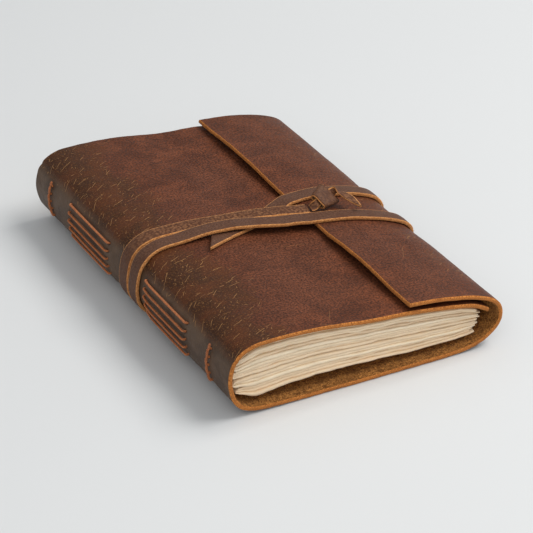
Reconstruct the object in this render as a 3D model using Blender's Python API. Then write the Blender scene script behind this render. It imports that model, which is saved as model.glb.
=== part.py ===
"""Leather wrap journal: one hide cover with a fold-over flap, five sewn signatures and a strap.

Millimetres are used for the section data and turned into metres when the meshes are made.
+X spine to fore-edge, +Y tail to head, +Z up. The journal lies on its back cover.
"""
import math

import bmesh
import bpy
from mathutils import Matrix, Vector

for old in list(bpy.data.objects):
    bpy.data.objects.remove(old, do_unlink=True)

MM = 0.001
WIDTH = 128.0            # spine to fore-edge, over the leather
HIDE = 1.8               # thickness of the cover hide
GAP = 0.3                # clearance between neighbouring pieces
STRAP_W = 7.8
STRAP_T = 1.7
THREAD_R = 0.55
HOLE_R = 0.85
PAGE_HALF = 92.0         # half length of the leaves

# Outer face of the hide, from the front cover's free edge round the spine, the back cover and the
# fore-edge to the flap's edge: (distance from the spine, height).
HIDE_PATH = [
    (121.5, 18.9), (113, 22.9), (98, 25.7), (80, 28.1), (62, 29.4), (54, 30.45), (43, 31.85),
    (30, 32.85), (15, 32.9), (9, 31.7), (5, 29.7), (2.2, 26.6), (0.7, 22.8), (0, 18), (0.6, 13),
    (2.2, 8.2), (5.2, 4.3), (9.5, 1.9), (15, 0.7), (24, 0.2), (36, 0), (48, 0), (60, 0), (72, 0),
    (86, 0), (100, 0.1), (111, 0.9), (118.6, 3.0), (124.3, 6.4), (127.3, 10.4), (128.0, 15.0),
    (126.5, 19.4), (122.5, 23.0), (116, 25.8), (108.5, 27.9), (97.5, 29.9), (88, 30.8),
    (82, 31.2),
]
# The closed path the strap is stretched along: straight over the hollow of the front cover, from
# the flap's edge to the shoulder, and the hide's outer face for the rest.
BRIDGE = [(62, 31.85), (54, 32.15), (43, 32.55)]
RIDE_FIRST = 4
RIDE_LAST = 36
BRIDGE_START = [(81, 31.25), (77, 31.35), (72.5, 31.5), (67.5, 31.65)]
RIDE_PATH = BRIDGE + HIDE_PATH[RIDE_FIRST + len(BRIDGE):RIDE_LAST + 1] + BRIDGE_START
LOOP = len(RIDE_PATH)
# What the free end lies on: the flap, a ramp down from its edge, and the cover.
TAIL_BED = [(110, 27.5), (97.5, 29.9), (88, 30.8), (82.5, 31.2), (79, 31.2), (74, 30.3),
            (68, 29.4), (62, 29.4), (54, 30.45), (43, 31.85), (30, 32.85), (15, 32.9)]

# How far the strap presses the hide in, by index along HIDE_PATH.
SPINE_PRESS = {9: 0, 10: 0.4, 11: 0.8, 12: 1.0, 14: 1.0, 15: 0.9, 16: 0.5, 17: 0.2, 18: 0}
BASE_PRESS = {14: 0, 15: 0.4, 16: 1.0, 17: 1.7, 18: 2.15, 26: 2.15, 27: 1.5, 28: 0.8, 29: 0}
FORE_PRESS = {26: 0, 27: 0.3, 28: 0.6, 29: 0.75, 32: 0.75, 33: 0.7, 34: 0.6, 35: 0.5,
              36: 0.45, 37: 0.4}
# The strap's centre line: (index along the closed path, counted on through both turns, y).
# Index 0 is the top of the cover 62 mm from the spine, 32 the flap 88 mm from the spine.
STRAP_LINE = {
    -4.45: -6.5, -4.0: -6.0, -3.0: -5.3, -2.0: -4.5, -1.0: -3.7, 0.0: -2.9, 1.0: -1.8, 2.0: -0.4,
    3.0: 0.7, 4.0: 0.9, 6.0: 0.8, 9.0: 0.6,
    11.0: 3.0, 13.0: 4.5, 14.0: 4.6, 16.6: 4.6, 20.0: -14.7, 22.0: -16.2, 26.0: -17.2,
    28.0: -18.8, 29.0: -18.5, 30.0: -17.8, 31.0: -16.3, 32.0: -15.0, 33.0: -14.3, 34.0: -13.6,
    35.0: -12.8, 36.0: -12.0, 37.0: -11.1, 38.0: -9.9, 39.0: -8.5, 40.0: -7.7, 42.0: -8.0,
    44.0: -8.5, 46.0: -8.6,
    48.0: -6.4, 50.0: -4.6, 51.0: -4.4, 53.6: -4.4, 57.0: 9.8, 61.0: 9.4, 64.0: 8.2, 66.0: 7.5,
    69.0: 7.0,
}
# Where the first turn rides over the second under the back cover, by index along HIDE_PATH.
CROSSING = {19.9: 0, 20.55: 1, 22.6: 1, 23.3: 0}
CROSSING_ROOM = {19.4: 0, 20.3: 1, 22.9: 1, 23.8: 0}
CROSS_RISE = 2.0
FIRST_RISE = 0.5         # over the free end, on top of the cover
SECOND_RISE = 1.7

SEWING_Z = [24.6, 20.9, 17.2, 13.4, 9.7]
STRIP_EDGES_Z = [26.6, 22.75, 19.05, 15.3, 11.55, 7.9]
STITCH_GROUPS = {"head": (18.5, 58.0), "tail": (-17.0, -56.0)}
END_STITCH_Y = {"head": 78.5, "tail": -77.0}
HOOK_LENGTH = 1.5

BLOCK_TOP = [(5, 26.8), (8, 28.6), (10, 29.5), (15, 30.5), (25, 30.6), (37, 30.0), (48, 28.9),
             (62, 27.0), (80, 25.6), (92, 24.1), (104, 22.2), (112, 20.6), (121, 17.2)]
BLOCK_BOTTOM = [(5, 9.6), (8, 7.2), (11, 5.9), (15, 5.7), (20, 6.2), (26, 7.0), (40, 7.5),
                (50, 7.3), (60, 6.9), (72, 6.5), (85, 5.5), (105, 5.3), (114, 5.9), (121, 7.6)]
FOLD_X = [5.1, 3.9, 3.4, 3.7, 5.3]
FOLD_Z = [24.6, 20.9, 17.0, 13.2, 9.6]
FOLD_HALF = [1.7, 1.6, 1.6, 1.5, 1.1]
PAGE_REACH = [119.0, 120.3, 121.0, 120.0, 117.5]


# ---------------------------------------------------------------- small mathematics
def smooth(edge0, edge1, value):
    x = min(1.0, max(0.0, (value - edge0) / (edge1 - edge0)))
    return x * x * (3 - 2 * x)


def table(points, x):
    keys = sorted(points)
    if x <= keys[0]:
        return points[keys[0]]
    if x >= keys[-1]:
        return points[keys[-1]]
    for a, b in zip(keys, keys[1:]):
        if a <= x <= b:
            f = (x - a) / (b - a)
            return points[a] + (points[b] - points[a]) * f
    return 0.0


def soft_table(points, x):
    keys = sorted(points)
    for a, b in zip(keys, keys[1:]):
        if a <= x <= b:
            f = smooth(a, b, x)
            return points[a] + (points[b] - points[a]) * f
    return points[keys[0]] if x < keys[0] else points[keys[-1]]


def line_at(points, x):
    for (xa, ya), (xb, yb) in zip(points, points[1:]):
        if x <= xb:
            return ya + (yb - ya) * (x - xa) / (xb - xa)
    return points[-1][1]


def spline(points, t, closed):
    n = len(points)
    i = int(math.floor(t))
    if not closed:
        i = max(0, min(n - 2, i))
    f = t - i

    def at(k):
        if closed:
            return points[k % n]
        if k < 0:
            return (2 * points[0][0] - points[1][0], 2 * points[0][1] - points[1][1])
        if k >= n:
            return (2 * points[-1][0] - points[-2][0], 2 * points[-1][1] - points[-2][1])
        return points[k]

    p0, p1, p2, p3 = at(i - 1), at(i), at(i + 1), at(i + 2)
    out = []
    for k in (0, 1):
        a, b, c, d = p0[k], p1[k], p2[k], p3[k]
        out.append(0.5 * (2 * b + (c - a) * f + (2 * a - 5 * b + 4 * c - d) * f * f
                          + (3 * b - a - 3 * c + d) * f ** 3))
    return out[0], max(out[1], 0.0)


def frame_at(points, t, closed):
    """Point, direction along the path and outward normal, all as (x, z)."""
    x, z = spline(points, t, closed)
    xa, za = spline(points, t - 0.04, closed)
    xb, zb = spline(points, t + 0.04, closed)
    length = math.hypot(xb - xa, zb - za)
    tx, tz = (xb - xa) / length, (zb - za) / length
    return (x, z), (tx, tz), (tz, -tx)


def strap_line_at(r):
    keys = sorted(STRAP_LINE)
    for i, (a, b) in enumerate(zip(keys, keys[1:])):
        if a <= r <= b:
            before = keys[max(0, i - 1)]
            after = keys[min(len(keys) - 1, i + 2)]
            pa, pb = STRAP_LINE[a], STRAP_LINE[b]
            ma = (pb - STRAP_LINE[before]) / (b - before) if b > before else 0
            mb = (STRAP_LINE[after] - pa) / (after - a) if after > a else 0
            h = b - a
            f = (r - a) / h
            return ((2 * f ** 3 - 3 * f * f + 1) * pa + (f ** 3 - 2 * f * f + f) * h * ma
                    + (-2 * f ** 3 + 3 * f * f) * pb + (f ** 3 - f * f) * h * mb)
    return STRAP_LINE[keys[-1]]


def plateau(y, low, high, fade):
    return smooth(low - fade, low, y) * (1 - smooth(high, high + fade, y))


def band(y, centre):
    return plateau(y, centre - 5.9, centre + 5.9, 7.0)


def press(t, y):
    """Depth that the strap pushes the hide in at path index t and length y."""
    spine = table(SPINE_PRESS, t) * plateau(y, -13.2, 8.3, 12.0) if 9 <= t <= 18 else 0.0
    fore = table(FORE_PRESS, t) * plateau(y, -22.5, 12.5, 20.0) if t >= 26 else 0.0
    base = 0.0
    if 14 <= t <= 29:
        first = table(BASE_PRESS, t) + (CROSS_RISE + 0.15) * soft_table(CROSSING_ROOM, t)
        base = max(first * band(y, strap_line_at(t - RIDE_FIRST)),
                   table(BASE_PRESS, t) * band(y, strap_line_at(t - RIDE_FIRST + LOOP)))
    return spine + base + fore


def flap_lift(t, y):
    """The flap's edge springs up a little on either side of the strap."""
    if t < 34:
        return 0.0
    away = math.exp(-((abs(y) - 54.0) / 24.0) ** 2)
    return 1.2 * away * smooth(34, 37, t)


def hide_point(t, y, depth):
    (x, z), _, (nx, nz) = frame_at(HIDE_PATH, t, False)
    d = press(t, y) + depth
    return (x - WIDTH / 2 - nx * d, y, z - nz * d + flap_lift(t, y))


def index_at_height(z):
    """Path index on the spine where the outer face is at height z."""
    low, high = 10.0, 16.5
    for _ in range(50):
        mid = (low + high) / 2
        if spline(HIDE_PATH, mid, False)[1] > z:
            low = mid
        else:
            high = mid
    return (low + high) / 2


def step_along(t, distance):
    """Path index moved by a distance in millimetres."""
    sign = 1 if distance > 0 else -1
    left = abs(distance)
    while left > 1e-6:
        a = spline(HIDE_PATH, t, False)
        b = spline(HIDE_PATH, t + 0.01 * sign, False)
        unit = math.hypot(b[0] - a[0], b[1] - a[1]) / 0.01
        step = min(left, 0.05)
        t += sign * step / unit
        left -= step
    return t


# ---------------------------------------------------------------- mesh builders
def material(name, colour):
    made = bpy.data.materials.new(name)
    made.use_nodes = True
    shader = made.node_tree.nodes["Principled BSDF"]
    shader.inputs["Base Color"].default_value = (*colour, 1.0)
    shader.inputs["Roughness"].default_value = 0.7
    return made


def add_object(name, verts, faces, slot, origin=(0, 0, 0), parent=None):
    mesh = bpy.data.meshes.new(name)
    ox, oy, oz = origin
    mesh.from_pydata([((x - ox) * MM, (y - oy) * MM, (z - oz) * MM) for x, y, z in verts], [],
                     faces)
    mesh.update()
    work = bmesh.new()
    work.from_mesh(mesh)
    bmesh.ops.recalc_face_normals(work, faces=work.faces)
    if work.calc_volume(signed=True) < 0:
        bmesh.ops.reverse_faces(work, faces=work.faces)
    work.to_mesh(mesh)
    work.free()
    body = bpy.data.objects.new(name, mesh)
    bpy.context.scene.collection.objects.link(body)
    body.location = Vector((ox * MM, oy * MM, oz * MM))
    mesh.materials.append(slot)
    for face in mesh.polygons:
        face.use_smooth = False
    if parent is not None:
        parent_to(body, parent)
    return body


def parent_to(child, parent):
    bpy.context.view_layer.update()
    child.parent = parent
    child.matrix_parent_inverse = parent.matrix_world.inverted()


def between_grids(outer, inner):
    """Closed solid between two grids of points of the same shape."""
    rows, cols = len(outer), len(outer[0])
    verts = [p for row in outer for p in row] + [p for row in inner for p in row]
    shift = rows * cols

    def o(i, j):
        return i * cols + j

    def n(i, j):
        return shift + i * cols + j

    faces = []
    for i in range(rows - 1):
        for j in range(cols - 1):
            faces.append((o(i, j), o(i + 1, j), o(i + 1, j + 1), o(i, j + 1)))
            faces.append((n(i, j), n(i, j + 1), n(i + 1, j + 1), n(i + 1, j)))
    for i in range(rows - 1):
        faces.append((o(i, 0), n(i, 0), n(i + 1, 0), o(i + 1, 0)))
        faces.append((o(i, cols - 1), o(i + 1, cols - 1), n(i + 1, cols - 1), n(i, cols - 1)))
    for j in range(cols - 1):
        faces.append((o(0, j), o(0, j + 1), n(0, j + 1), n(0, j)))
        faces.append((o(rows - 1, j), n(rows - 1, j), n(rows - 1, j + 1), o(rows - 1, j + 1)))
    return verts, faces


def from_rings(rings):
    """Closed solid through rings of points, with flat ends."""
    count = len(rings[0])
    verts = [p for ring in rings for p in ring]
    faces = []
    for r in range(len(rings) - 1):
        for k in range(count):
            a, b = r * count + k, r * count + (k + 1) % count
            faces.append((a, b, b + count, a + count))
    faces.append(tuple(reversed(range(count))))
    last = (len(rings) - 1) * count
    faces.append(tuple(last + k for k in range(count)))
    return verts, faces


def length_stations():
    """Stations along Y, closer together where the strap shapes the hide."""
    far = [-95, -84, -72, -60, -50, -42, -36]
    near = [-31 + 2.75 * k for k in range(24)]
    return [float(v) for v in far] + near + [36.5, 43, 51, 60, 72, 84, 95]


def hide_piece(name, start, end, rows, origin, slot, stations=None):
    stations = stations or length_stations()
    outer, inner = [], []
    for i in range(rows + 1):
        t = start + (end - start) * i / rows
        outer.append([hide_point(t, y, 0.0) for y in stations])
        inner.append([hide_point(t, y, HIDE) for y in stations])
    verts, faces = between_grids(outer, inner)
    body = add_object(name, verts, faces, slot, origin)
    smooth_by_angle(body)
    return body


def smooth_by_angle(body):
    """Smooth shading with the cut edges kept sharp."""
    mesh = body.data
    for face in mesh.polygons:
        face.use_smooth = True
    work = bmesh.new()
    work.from_mesh(mesh)
    for edge in work.edges:
        if len(edge.link_faces) == 2 and edge.calc_face_angle(0.0) > math.radians(38):
            edge.smooth = False
    work.to_mesh(mesh)
    work.free()


def tube(name, path, radius, slot, origin, sides=8):
    rings = []
    for i, point in enumerate(path):
        p = Vector(point)
        before = Vector(path[max(0, i - 1)])
        after = Vector(path[min(len(path) - 1, i + 1)])
        direction = (after - before).normalized()
        side = direction.cross(Vector((0.31, 0.17, 0.94))).normalized()
        other = direction.cross(side).normalized()
        ring = []
        for k in range(sides):
            angle = 2 * math.pi * k / sides
            q = p + (side * math.cos(angle) + other * math.sin(angle)) * radius
            ring.append((q.x, q.y, q.z))
        rings.append(ring)
    verts, faces = from_rings(rings)
    body = add_object(name, verts, faces, slot, origin)
    smooth_by_angle(body)
    return body


# ---------------------------------------------------------------- materials
HIDE_SLOT = material("oiled_leather", (0.10, 0.035, 0.020))
PAPER_SLOT = material("handmade_paper", (0.72, 0.64, 0.50))
THREAD_SLOT = material("waxed_thread", (0.45, 0.16, 0.06))
STRAP_SLOT = material("strap_leather", (0.13, 0.06, 0.035))

# ---------------------------------------------------------------- fold lines
STRIP_EDGES = [index_at_height(z) for z in STRIP_EDGES_Z]
WRAP_EDGES = [26.35, 28.0, 30.3, 32.35]


def fold_line(t):
    x, z = spline(HIDE_PATH, t, False)
    return (x - WIDTH / 2, 0.0, z)


HALF_GAP = GAP / 2

# ---------------------------------------------------------------- the hide
front_cover = hide_piece("front_cover", 0.0, step_along(STRIP_EDGES[0], -HALF_GAP), 24,
                         fold_line(STRIP_EDGES[0]), HIDE_SLOT)
back_cover = hide_piece("back_cover", step_along(STRIP_EDGES[5], HALF_GAP),
                        step_along(WRAP_EDGES[0], -HALF_GAP), 36, (0, 0, 0), HIDE_SLOT)
strip_origins = [fold_line(STRIP_EDGES[k + 1]) for k in range(4)] + [(0, 0, 0)]
spine_strips = []
for k in range(5):
    spine_strips.append(hide_piece(
        "spine_strip_%d" % (k + 1), step_along(STRIP_EDGES[k], HALF_GAP),
        step_along(STRIP_EDGES[k + 1], -HALF_GAP), 3, strip_origins[k], HIDE_SLOT))
wrap_names = ["wrap_lower", "wrap_middle", "wrap_upper"]
wrap_parts = []
for k, name in enumerate(wrap_names):
    wrap_parts.append(hide_piece(
        name, step_along(WRAP_EDGES[k], HALF_GAP), step_along(WRAP_EDGES[k + 1], -HALF_GAP), 5,
        fold_line(WRAP_EDGES[k]), HIDE_SLOT))
flap = hide_piece("flap", step_along(WRAP_EDGES[3], HALF_GAP), 37.0, 12,
                  fold_line(WRAP_EDGES[3]), HIDE_SLOT)


# ---------------------------------------------------------------- sewing holes
def punch(body, holes):
    cutters = []
    for t, y in holes:
        x, _, z = hide_point(t, y, HIDE / 2)
        _, _, (nx, nz) = frame_at(HIDE_PATH, t, False)
        made = bpy.data.meshes.new("cut")
        work = bmesh.new()
        bmesh.ops.create_cone(work, cap_ends=True, segments=12, radius1=HOLE_R * MM,
                              radius2=HOLE_R * MM, depth=(HIDE + 3) * MM)
        work.to_mesh(made)
        work.free()
        cutter = bpy.data.objects.new("cut", made)
        bpy.context.scene.collection.objects.link(cutter)
        turn = Vector((0, 0, 1)).rotation_difference(Vector((nx, 0, nz))).to_matrix().to_4x4()
        cutter.matrix_world = Matrix.Translation((x * MM, y * MM, z * MM)) @ turn
        cutters.append(cutter)
    bpy.context.view_layer.update()
    depsgraph = bpy.context.evaluated_depsgraph_get
    for cutter in cutters:
        step = body.modifiers.new("hole", "BOOLEAN")
        step.operation = "DIFFERENCE"
        step.solver = "EXACT"
        step.object = cutter
    shaped = bpy.data.meshes.new_from_object(body.evaluated_get(depsgraph()))
    body.modifiers.clear()
    old_mesh = body.data
    body.data = shaped
    bpy.data.meshes.remove(old_mesh)
    for cutter in cutters:
        bpy.data.objects.remove(cutter, do_unlink=True)


for k in range(5):
    t = index_at_height(SEWING_Z[k])
    spots = [(t, y) for ys in STITCH_GROUPS.values() for y in ys]
    hook = step_along(t, 0.55)
    spots += [(hook, y) for y in END_STITCH_Y.values()]
    punch(spine_strips[k], spots)


# ---------------------------------------------------------------- sewing thread
def thread_path(t, ya, yb):
    """Out of one hole, along the spine and back into the next."""
    sign = 1 if yb > ya else -1
    reach = THREAD_R + 0.13
    shape = [(0, HIDE + 0.35), (0, HIDE * 0.5), (0, 0.3), (0.18, -0.25), (0.62, -reach * 0.85),
             (1.4, -reach)]
    points = [(ya + sign * a, d) for a, d in shape]
    count = 9
    for i in range(1, count):
        f = i / count
        bow = 0.06 * math.sin(math.pi * f)
        points.append((ya + sign * 1.4 + (yb - ya - sign * 2.8) * f, -reach - bow))
    points += [(yb - sign * a, d) for a, d in reversed(shape)]
    return [hide_point(t, y, d) for y, d in points]


def hook_path(t, y, top):
    """Out of an end hole and up the spine, as one link of the end stitch."""
    reach = THREAD_R + 0.15
    low = step_along(t, 0.55)
    shape = [(0, HIDE + 0.35), (0, HIDE * 0.5), (0, 0.3), (0.18, -0.3), (0.5, -reach * 0.85),
             (1.0, -reach), (top * 0.7, -reach), (top, -reach)]
    return [hide_point(step_along(low, -a) if a else low, y, d) for a, d in shape]


stitches = []
for k in range(5):
    t = index_at_height(SEWING_Z[k])
    for group, (ya, yb) in STITCH_GROUPS.items():
        stitches.append((k, tube("long_stitch_%s_%d" % (group, k + 1), thread_path(t, ya, yb),
                                 THREAD_R, THREAD_SLOT, strip_origins[k])))
    for group, y in END_STITCH_Y.items():
        stitches.append((k, tube("end_stitch_%s_%d" % (group, k + 1), hook_path(t, y, HOOK_LENGTH),
                                 THREAD_R, THREAD_SLOT, strip_origins[k])))


# ---------------------------------------------------------------- signatures
def signature_edge(k, x):
    """Heights of the lower and upper faces of signature k (0 at the top) at x."""
    top, low = line_at(BLOCK_TOP, x), line_at(BLOCK_BOTTOM, x)
    share = (top - low) / 5
    upper = top - share * k - GAP / 2
    lower = top - share * (k + 1) + GAP / 2
    spread = smooth(FOLD_X[k] - 0.5, 14.5, x)
    upper = (FOLD_Z[k] + FOLD_HALF[k]) * (1 - spread) + upper * spread
    lower = (FOLD_Z[k] - FOLD_HALF[k]) * (1 - spread) + lower * spread
    thick = 1 - 0.72 * (1 - smooth(FOLD_X[k], FOLD_X[k] + 1.8, x))
    middle = (upper + lower) / 2
    return middle - (middle - lower) * thick, middle + (upper - middle) * thick


def signature(k):
    """Folded sheets with the fold just inside the spine, open at the fore-edge."""
    start = FOLD_X[k]
    xs = [start, start + 0.7, start + 1.8, start + 3.2, 11.5, 15, 20, 28, 37, 48, 62, 78, 92, 104,
          112, PAGE_REACH[k]]
    ys = [-PAGE_HALF + 0.5 * (k % 2), -46, 0, 46, PAGE_HALF - 0.4 * ((k + 1) % 2)]
    outer, inner = [], []
    for x in xs:
        low, top = signature_edge(k, x)
        outer.append([(x - WIDTH / 2, y, top) for y in ys])
        inner.append([(x - WIDTH / 2, y, low) for y in ys])
    verts, faces = between_grids(outer, inner)
    body = add_object("signature_%d" % (k + 1), verts, faces, PAPER_SLOT, strip_origins[k])
    smooth_by_angle(body)
    return body


signatures = [signature(k) for k in range(5)]


# ---------------------------------------------------------------- strap
# Each turn starts on top of the cover; the ride index counts on through both turns.
def strap_offset(t_hide):
    """Height of the strap's inner face over the unpressed hide."""
    depth = 0.0
    if 9 <= t_hide <= 18:
        depth += table(SPINE_PRESS, t_hide)
    if 14 <= t_hide <= 29:
        depth += table(BASE_PRESS, t_hide)
    if 26 <= t_hide <= 37:
        depth += table(FORE_PRESS, t_hide)
    elif t_hide > 37:
        depth += FORE_PRESS[37] * (1 - smooth(37, 39, t_hide))
    return GAP - depth


def turn_index(r):
    """Ride index folded back to HIDE_PATH numbering, and the number of the turn."""
    turn = math.floor(r / LOOP)
    return r - turn * LOOP + RIDE_FIRST, turn


def rise(r):
    """Extra height where the strap passes over another run of itself."""
    under, turn = turn_index(r)
    if turn == 0 and 19 < under < 24.5:
        return -CROSS_RISE * soft_table(CROSSING, under)
    x = ride_x(r)
    top = under <= 8 or under >= 35
    if not top:
        return 0.0
    if r < 10:
        return FIRST_RISE * smooth(45, 55, x) * (1 - smooth(62, 78, x))
    if r < 50:
        return SECOND_RISE * smooth(17, 38, x) * (1 - smooth(46, 72, x))
    return 0.0


def ride_x(r):
    return spline(RIDE_PATH, r, True)[0]


def ride_frame(r):
    (x, z), (tx, tz), (nx, nz) = frame_at(RIDE_PATH, r, True)
    return (x, z), (tx, tz), (nx, nz)


def strap_centre(r, y):
    (x, z), _, (nx, nz) = ride_frame(r)
    hide_index, _ = turn_index(r)
    offset = strap_offset(hide_index) + rise(r)
    return x + nx * offset, y, z + nz * offset


def strap_stations():
    """Ride indices spaced evenly along the strap."""
    stations, r, last = [], -4.45, 67.85
    while r < last:
        stations.append(r)
        (xa, za), (xb, zb) = spline(RIDE_PATH, r, True), spline(RIDE_PATH, r + 0.02, True)
        unit = math.hypot(xb - xa, zb - za) / 0.02
        _, (tx, _), _ = ride_frame(r)
        r += (4.4 if abs(tx) > 0.985 else 2.0) / unit
    return stations


def bed_height(x):
    """Height that the free end's inner face lies at, at distance x from the spine."""
    low, high = 0.0, len(TAIL_BED) - 1.0
    for _ in range(40):
        mid = (low + high) / 2
        if spline(TAIL_BED, mid, False)[0] > x:
            low = mid
        else:
            high = mid
    return spline(TAIL_BED, low, False)[1] + GAP - FORE_PRESS[37] * smooth(78, 83, x)


CORNERS = ((-1, 0), (0, 0), (1, 0), (1, 1), (0, 1), (-1, 1))


def strap():
    rings = []
    stations = strap_stations()
    centres = [Vector(strap_centre(r, strap_line_at(r))) for r in stations]
    for i, r in enumerate(stations):
        _, _, (nx, nz) = ride_frame(r)
        before, after = centres[max(0, i - 1)], centres[min(len(centres) - 1, i + 1)]
        along = (after - before).normalized()
        side = Vector((nx, 0, nz)).cross(along).normalized()
        normal = along.cross(side).normalized()
        ring = []
        for across, up in CORNERS:
            p = centres[i] + side * (across * STRAP_W / 2) + normal * (up * STRAP_T)
            ring.append((p.x - WIDTH / 2, p.y, p.z))
        rings.append(ring)
    # The free end runs diagonally over the cover, under both runs, to a slanted point.
    turn_x, turn_y, bend, slope, end_x = 98.0, 7.1, 30.0, 0.46, 32.5
    x = turn_x - 1.5
    while x >= end_x - 0.01:
        gone = turn_x - x
        if gone < bend:
            y, lean = turn_y - slope * gone * gone / (2 * bend), slope * gone / bend
        else:
            y, lean = turn_y - slope * (gone - bend / 2), slope
        along = Vector((-1, -lean, 0)).normalized()
        side = Vector((0, 0, 1)).cross(along).normalized()
        skew = 5.3 * smooth(end_x + 9.0, end_x, x)
        ring = []
        for across, up in CORNERS:
            p = Vector((x, y, 0)) + side * (across * STRAP_W / 2) + along * (across * skew)
            ring.append((p.x - WIDTH / 2, p.y, bed_height(p.x) + up * STRAP_T))
        rings.append(ring)
        x -= 3.0
    verts, faces = from_rings(rings)
    body = add_object("strap", verts, faces, STRAP_SLOT, (0, 0, 0))
    smooth_by_angle(body)
    return body


strap_body = strap()


# ---------------------------------------------------------------- knot at the strap's start
# The flattened loop leans back from the flap: corners of its lower and upper edges.
LOOP_LOW = ((89.8, -8.0, 32.6), (98.9, -5.0, 32.1))
LOOP_HIGH = ((87.6, -5.2, 35.6), (93.9, -1.2, 38.0))
LOOP_OUT = 1.75
LOOP_IN = 0.85
# Middle line of the strip through the loop: (place, width, direction across).
STRIP_T = 0.9
STRIP = [
    ((85.3, -6.6, 32.0), 4.2, (0.05, -1, 0)), ((86.9, -6.8, 32.9), 4.2, (0.2, -0.8, -0.55)),
    ((88.6, -6.65, 34.1), 3.6, (0.52, -0.52, -0.68)), ((93.0, -4.8, 34.55), 3.6, (0.58, -0.42, -0.68)),
    ((96.6, -3.15, 35.0), 3.6, (0.64, -0.42, -0.64)), ((99.2, -3.1, 35.2), 4.4, (0.8, -0.3, -0.5)),
    ((101.6, -5.6, 34.6), 5.0, (0.95, 0.1, -0.25)), ((103.0, -9.2, 34.0), 4.6, (1, 0.25, -0.05)),
    ((104.0, -13.0, 33.2), 3.0, (1, 0.2, 0)), ((104.7, -16.4, 32.8), 0.8, (1, 0.2, 0)),
]


def knot_strip():
    """Narrow end of the strap that passes through the loop and ends in a point."""
    rings = []
    places = [Vector(place) for place, _, _ in STRIP]
    for i, (place, width, across) in enumerate(STRIP):
        along = (places[min(len(STRIP) - 1, i + 1)] - places[max(0, i - 1)]).normalized()
        side = Vector(across)
        side = (side - along * side.dot(along)).normalized()
        normal = side.cross(along).normalized()
        ring = []
        for over, up in ((-1, -1), (1, -1), (1, 1), (-1, 1)):
            p = places[i] + side * (over * width / 2) + normal * (up * STRIP_T / 2)
            ring.append((p.x - WIDTH / 2, p.y, p.z))
        rings.append(ring)
    verts, faces = from_rings(rings)
    body = add_object("knot_strip", verts, faces, STRAP_SLOT, (0, 0, 0))
    smooth_by_angle(body)
    return body


def loop_outline(end, radius):
    """Points round the flattened loop at one end of its width."""
    low, high = Vector(LOOP_LOW[end]), Vector(LOOP_HIGH[end])
    rise_way = (high - low).normalized()
    width_way = Vector(LOOP_LOW[1]) - Vector(LOOP_LOW[0])
    out = rise_way.cross(width_way).normalized()
    points = []
    for centre, first in ((high, 0), (low, 180)):
        for step in range(0, 181, 36):
            a = math.radians(first + step)
            p = centre + out * (math.cos(a) * radius) + rise_way * (math.sin(a) * radius)
            points.append((p.x - WIDTH / 2, p.y, p.z))
    return points


def knot_loop():
    """Band folded flat round the strip, leaning back over the flap."""
    outlines = [loop_outline(0, LOOP_OUT), loop_outline(1, LOOP_OUT), loop_outline(1, LOOP_IN),
                loop_outline(0, LOOP_IN)]
    count = len(outlines[0])
    verts = [outline[i] for i in range(count) for outline in outlines]
    faces = []
    for i in range(count):
        j = (i + 1) % count
        for k in range(4):
            m = (k + 1) % 4
            faces.append((i * 4 + k, i * 4 + m, j * 4 + m, j * 4 + k))
    body = add_object("knot_loop", verts, faces, STRAP_SLOT, (0, 0, 0))
    smooth_by_angle(body)
    return body


strip_body = knot_strip()
loop_body = knot_loop()


# ---------------------------------------------------------------- assembly
for k, body in stitches:
    if k < 4:
        parent_to(body, spine_strips[k])
for k in range(4):
    parent_to(signatures[k], spine_strips[k])
parent_to(front_cover, spine_strips[0])
for k in range(3):
    parent_to(spine_strips[k], spine_strips[k + 1])
parent_to(spine_strips[3], back_cover)
for body in [spine_strips[4], signatures[4]] + [b for k, b in stitches if k == 4]:
    parent_to(body, back_cover)
parent_to(flap, wrap_parts[2])
parent_to(wrap_parts[2], wrap_parts[1])
parent_to(wrap_parts[1], wrap_parts[0])
parent_to(wrap_parts[0], back_cover)
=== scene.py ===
"""Leather wrap journal: the looks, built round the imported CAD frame.

Shapes are worked out in millimetres, with X = distance from the spine - WIDTH / 2, and turned
into metres when a mesh is made. +X spine to fore-edge, +Y tail to head, +Z up.
"""
import math

import bpy
import numpy as np
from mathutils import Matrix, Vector


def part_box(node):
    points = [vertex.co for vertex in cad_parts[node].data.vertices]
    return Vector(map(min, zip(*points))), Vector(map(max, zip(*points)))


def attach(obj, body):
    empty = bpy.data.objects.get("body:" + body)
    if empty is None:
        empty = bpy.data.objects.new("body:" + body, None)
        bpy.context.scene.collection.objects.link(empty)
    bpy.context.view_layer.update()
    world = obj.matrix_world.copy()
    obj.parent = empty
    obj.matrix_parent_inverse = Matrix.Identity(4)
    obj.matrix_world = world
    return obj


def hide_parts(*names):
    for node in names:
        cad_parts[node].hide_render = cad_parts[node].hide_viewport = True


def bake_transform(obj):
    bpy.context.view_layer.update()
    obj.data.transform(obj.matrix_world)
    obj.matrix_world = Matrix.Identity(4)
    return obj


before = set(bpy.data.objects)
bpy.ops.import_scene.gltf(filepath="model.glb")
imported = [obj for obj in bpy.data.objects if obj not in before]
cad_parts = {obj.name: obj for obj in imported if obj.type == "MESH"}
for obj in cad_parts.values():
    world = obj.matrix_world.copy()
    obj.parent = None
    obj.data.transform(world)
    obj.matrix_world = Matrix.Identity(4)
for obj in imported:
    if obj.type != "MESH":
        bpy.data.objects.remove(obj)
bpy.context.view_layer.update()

rng = np.random.default_rng(7)

MM = 0.001
WIDTH = 128.0            # spine to fore-edge, over the leather
END_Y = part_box("back_cover")[1].y / MM
HIDE = 1.8               # thickness of the cover hide
STRAP_W = 7.8
STRAP_T = 1.7
THREAD_R = 0.55
STRAP_GAP = 0.3          # between the strap and what it lies on
PAGE_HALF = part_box("signature_1")[1].y / MM

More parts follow.
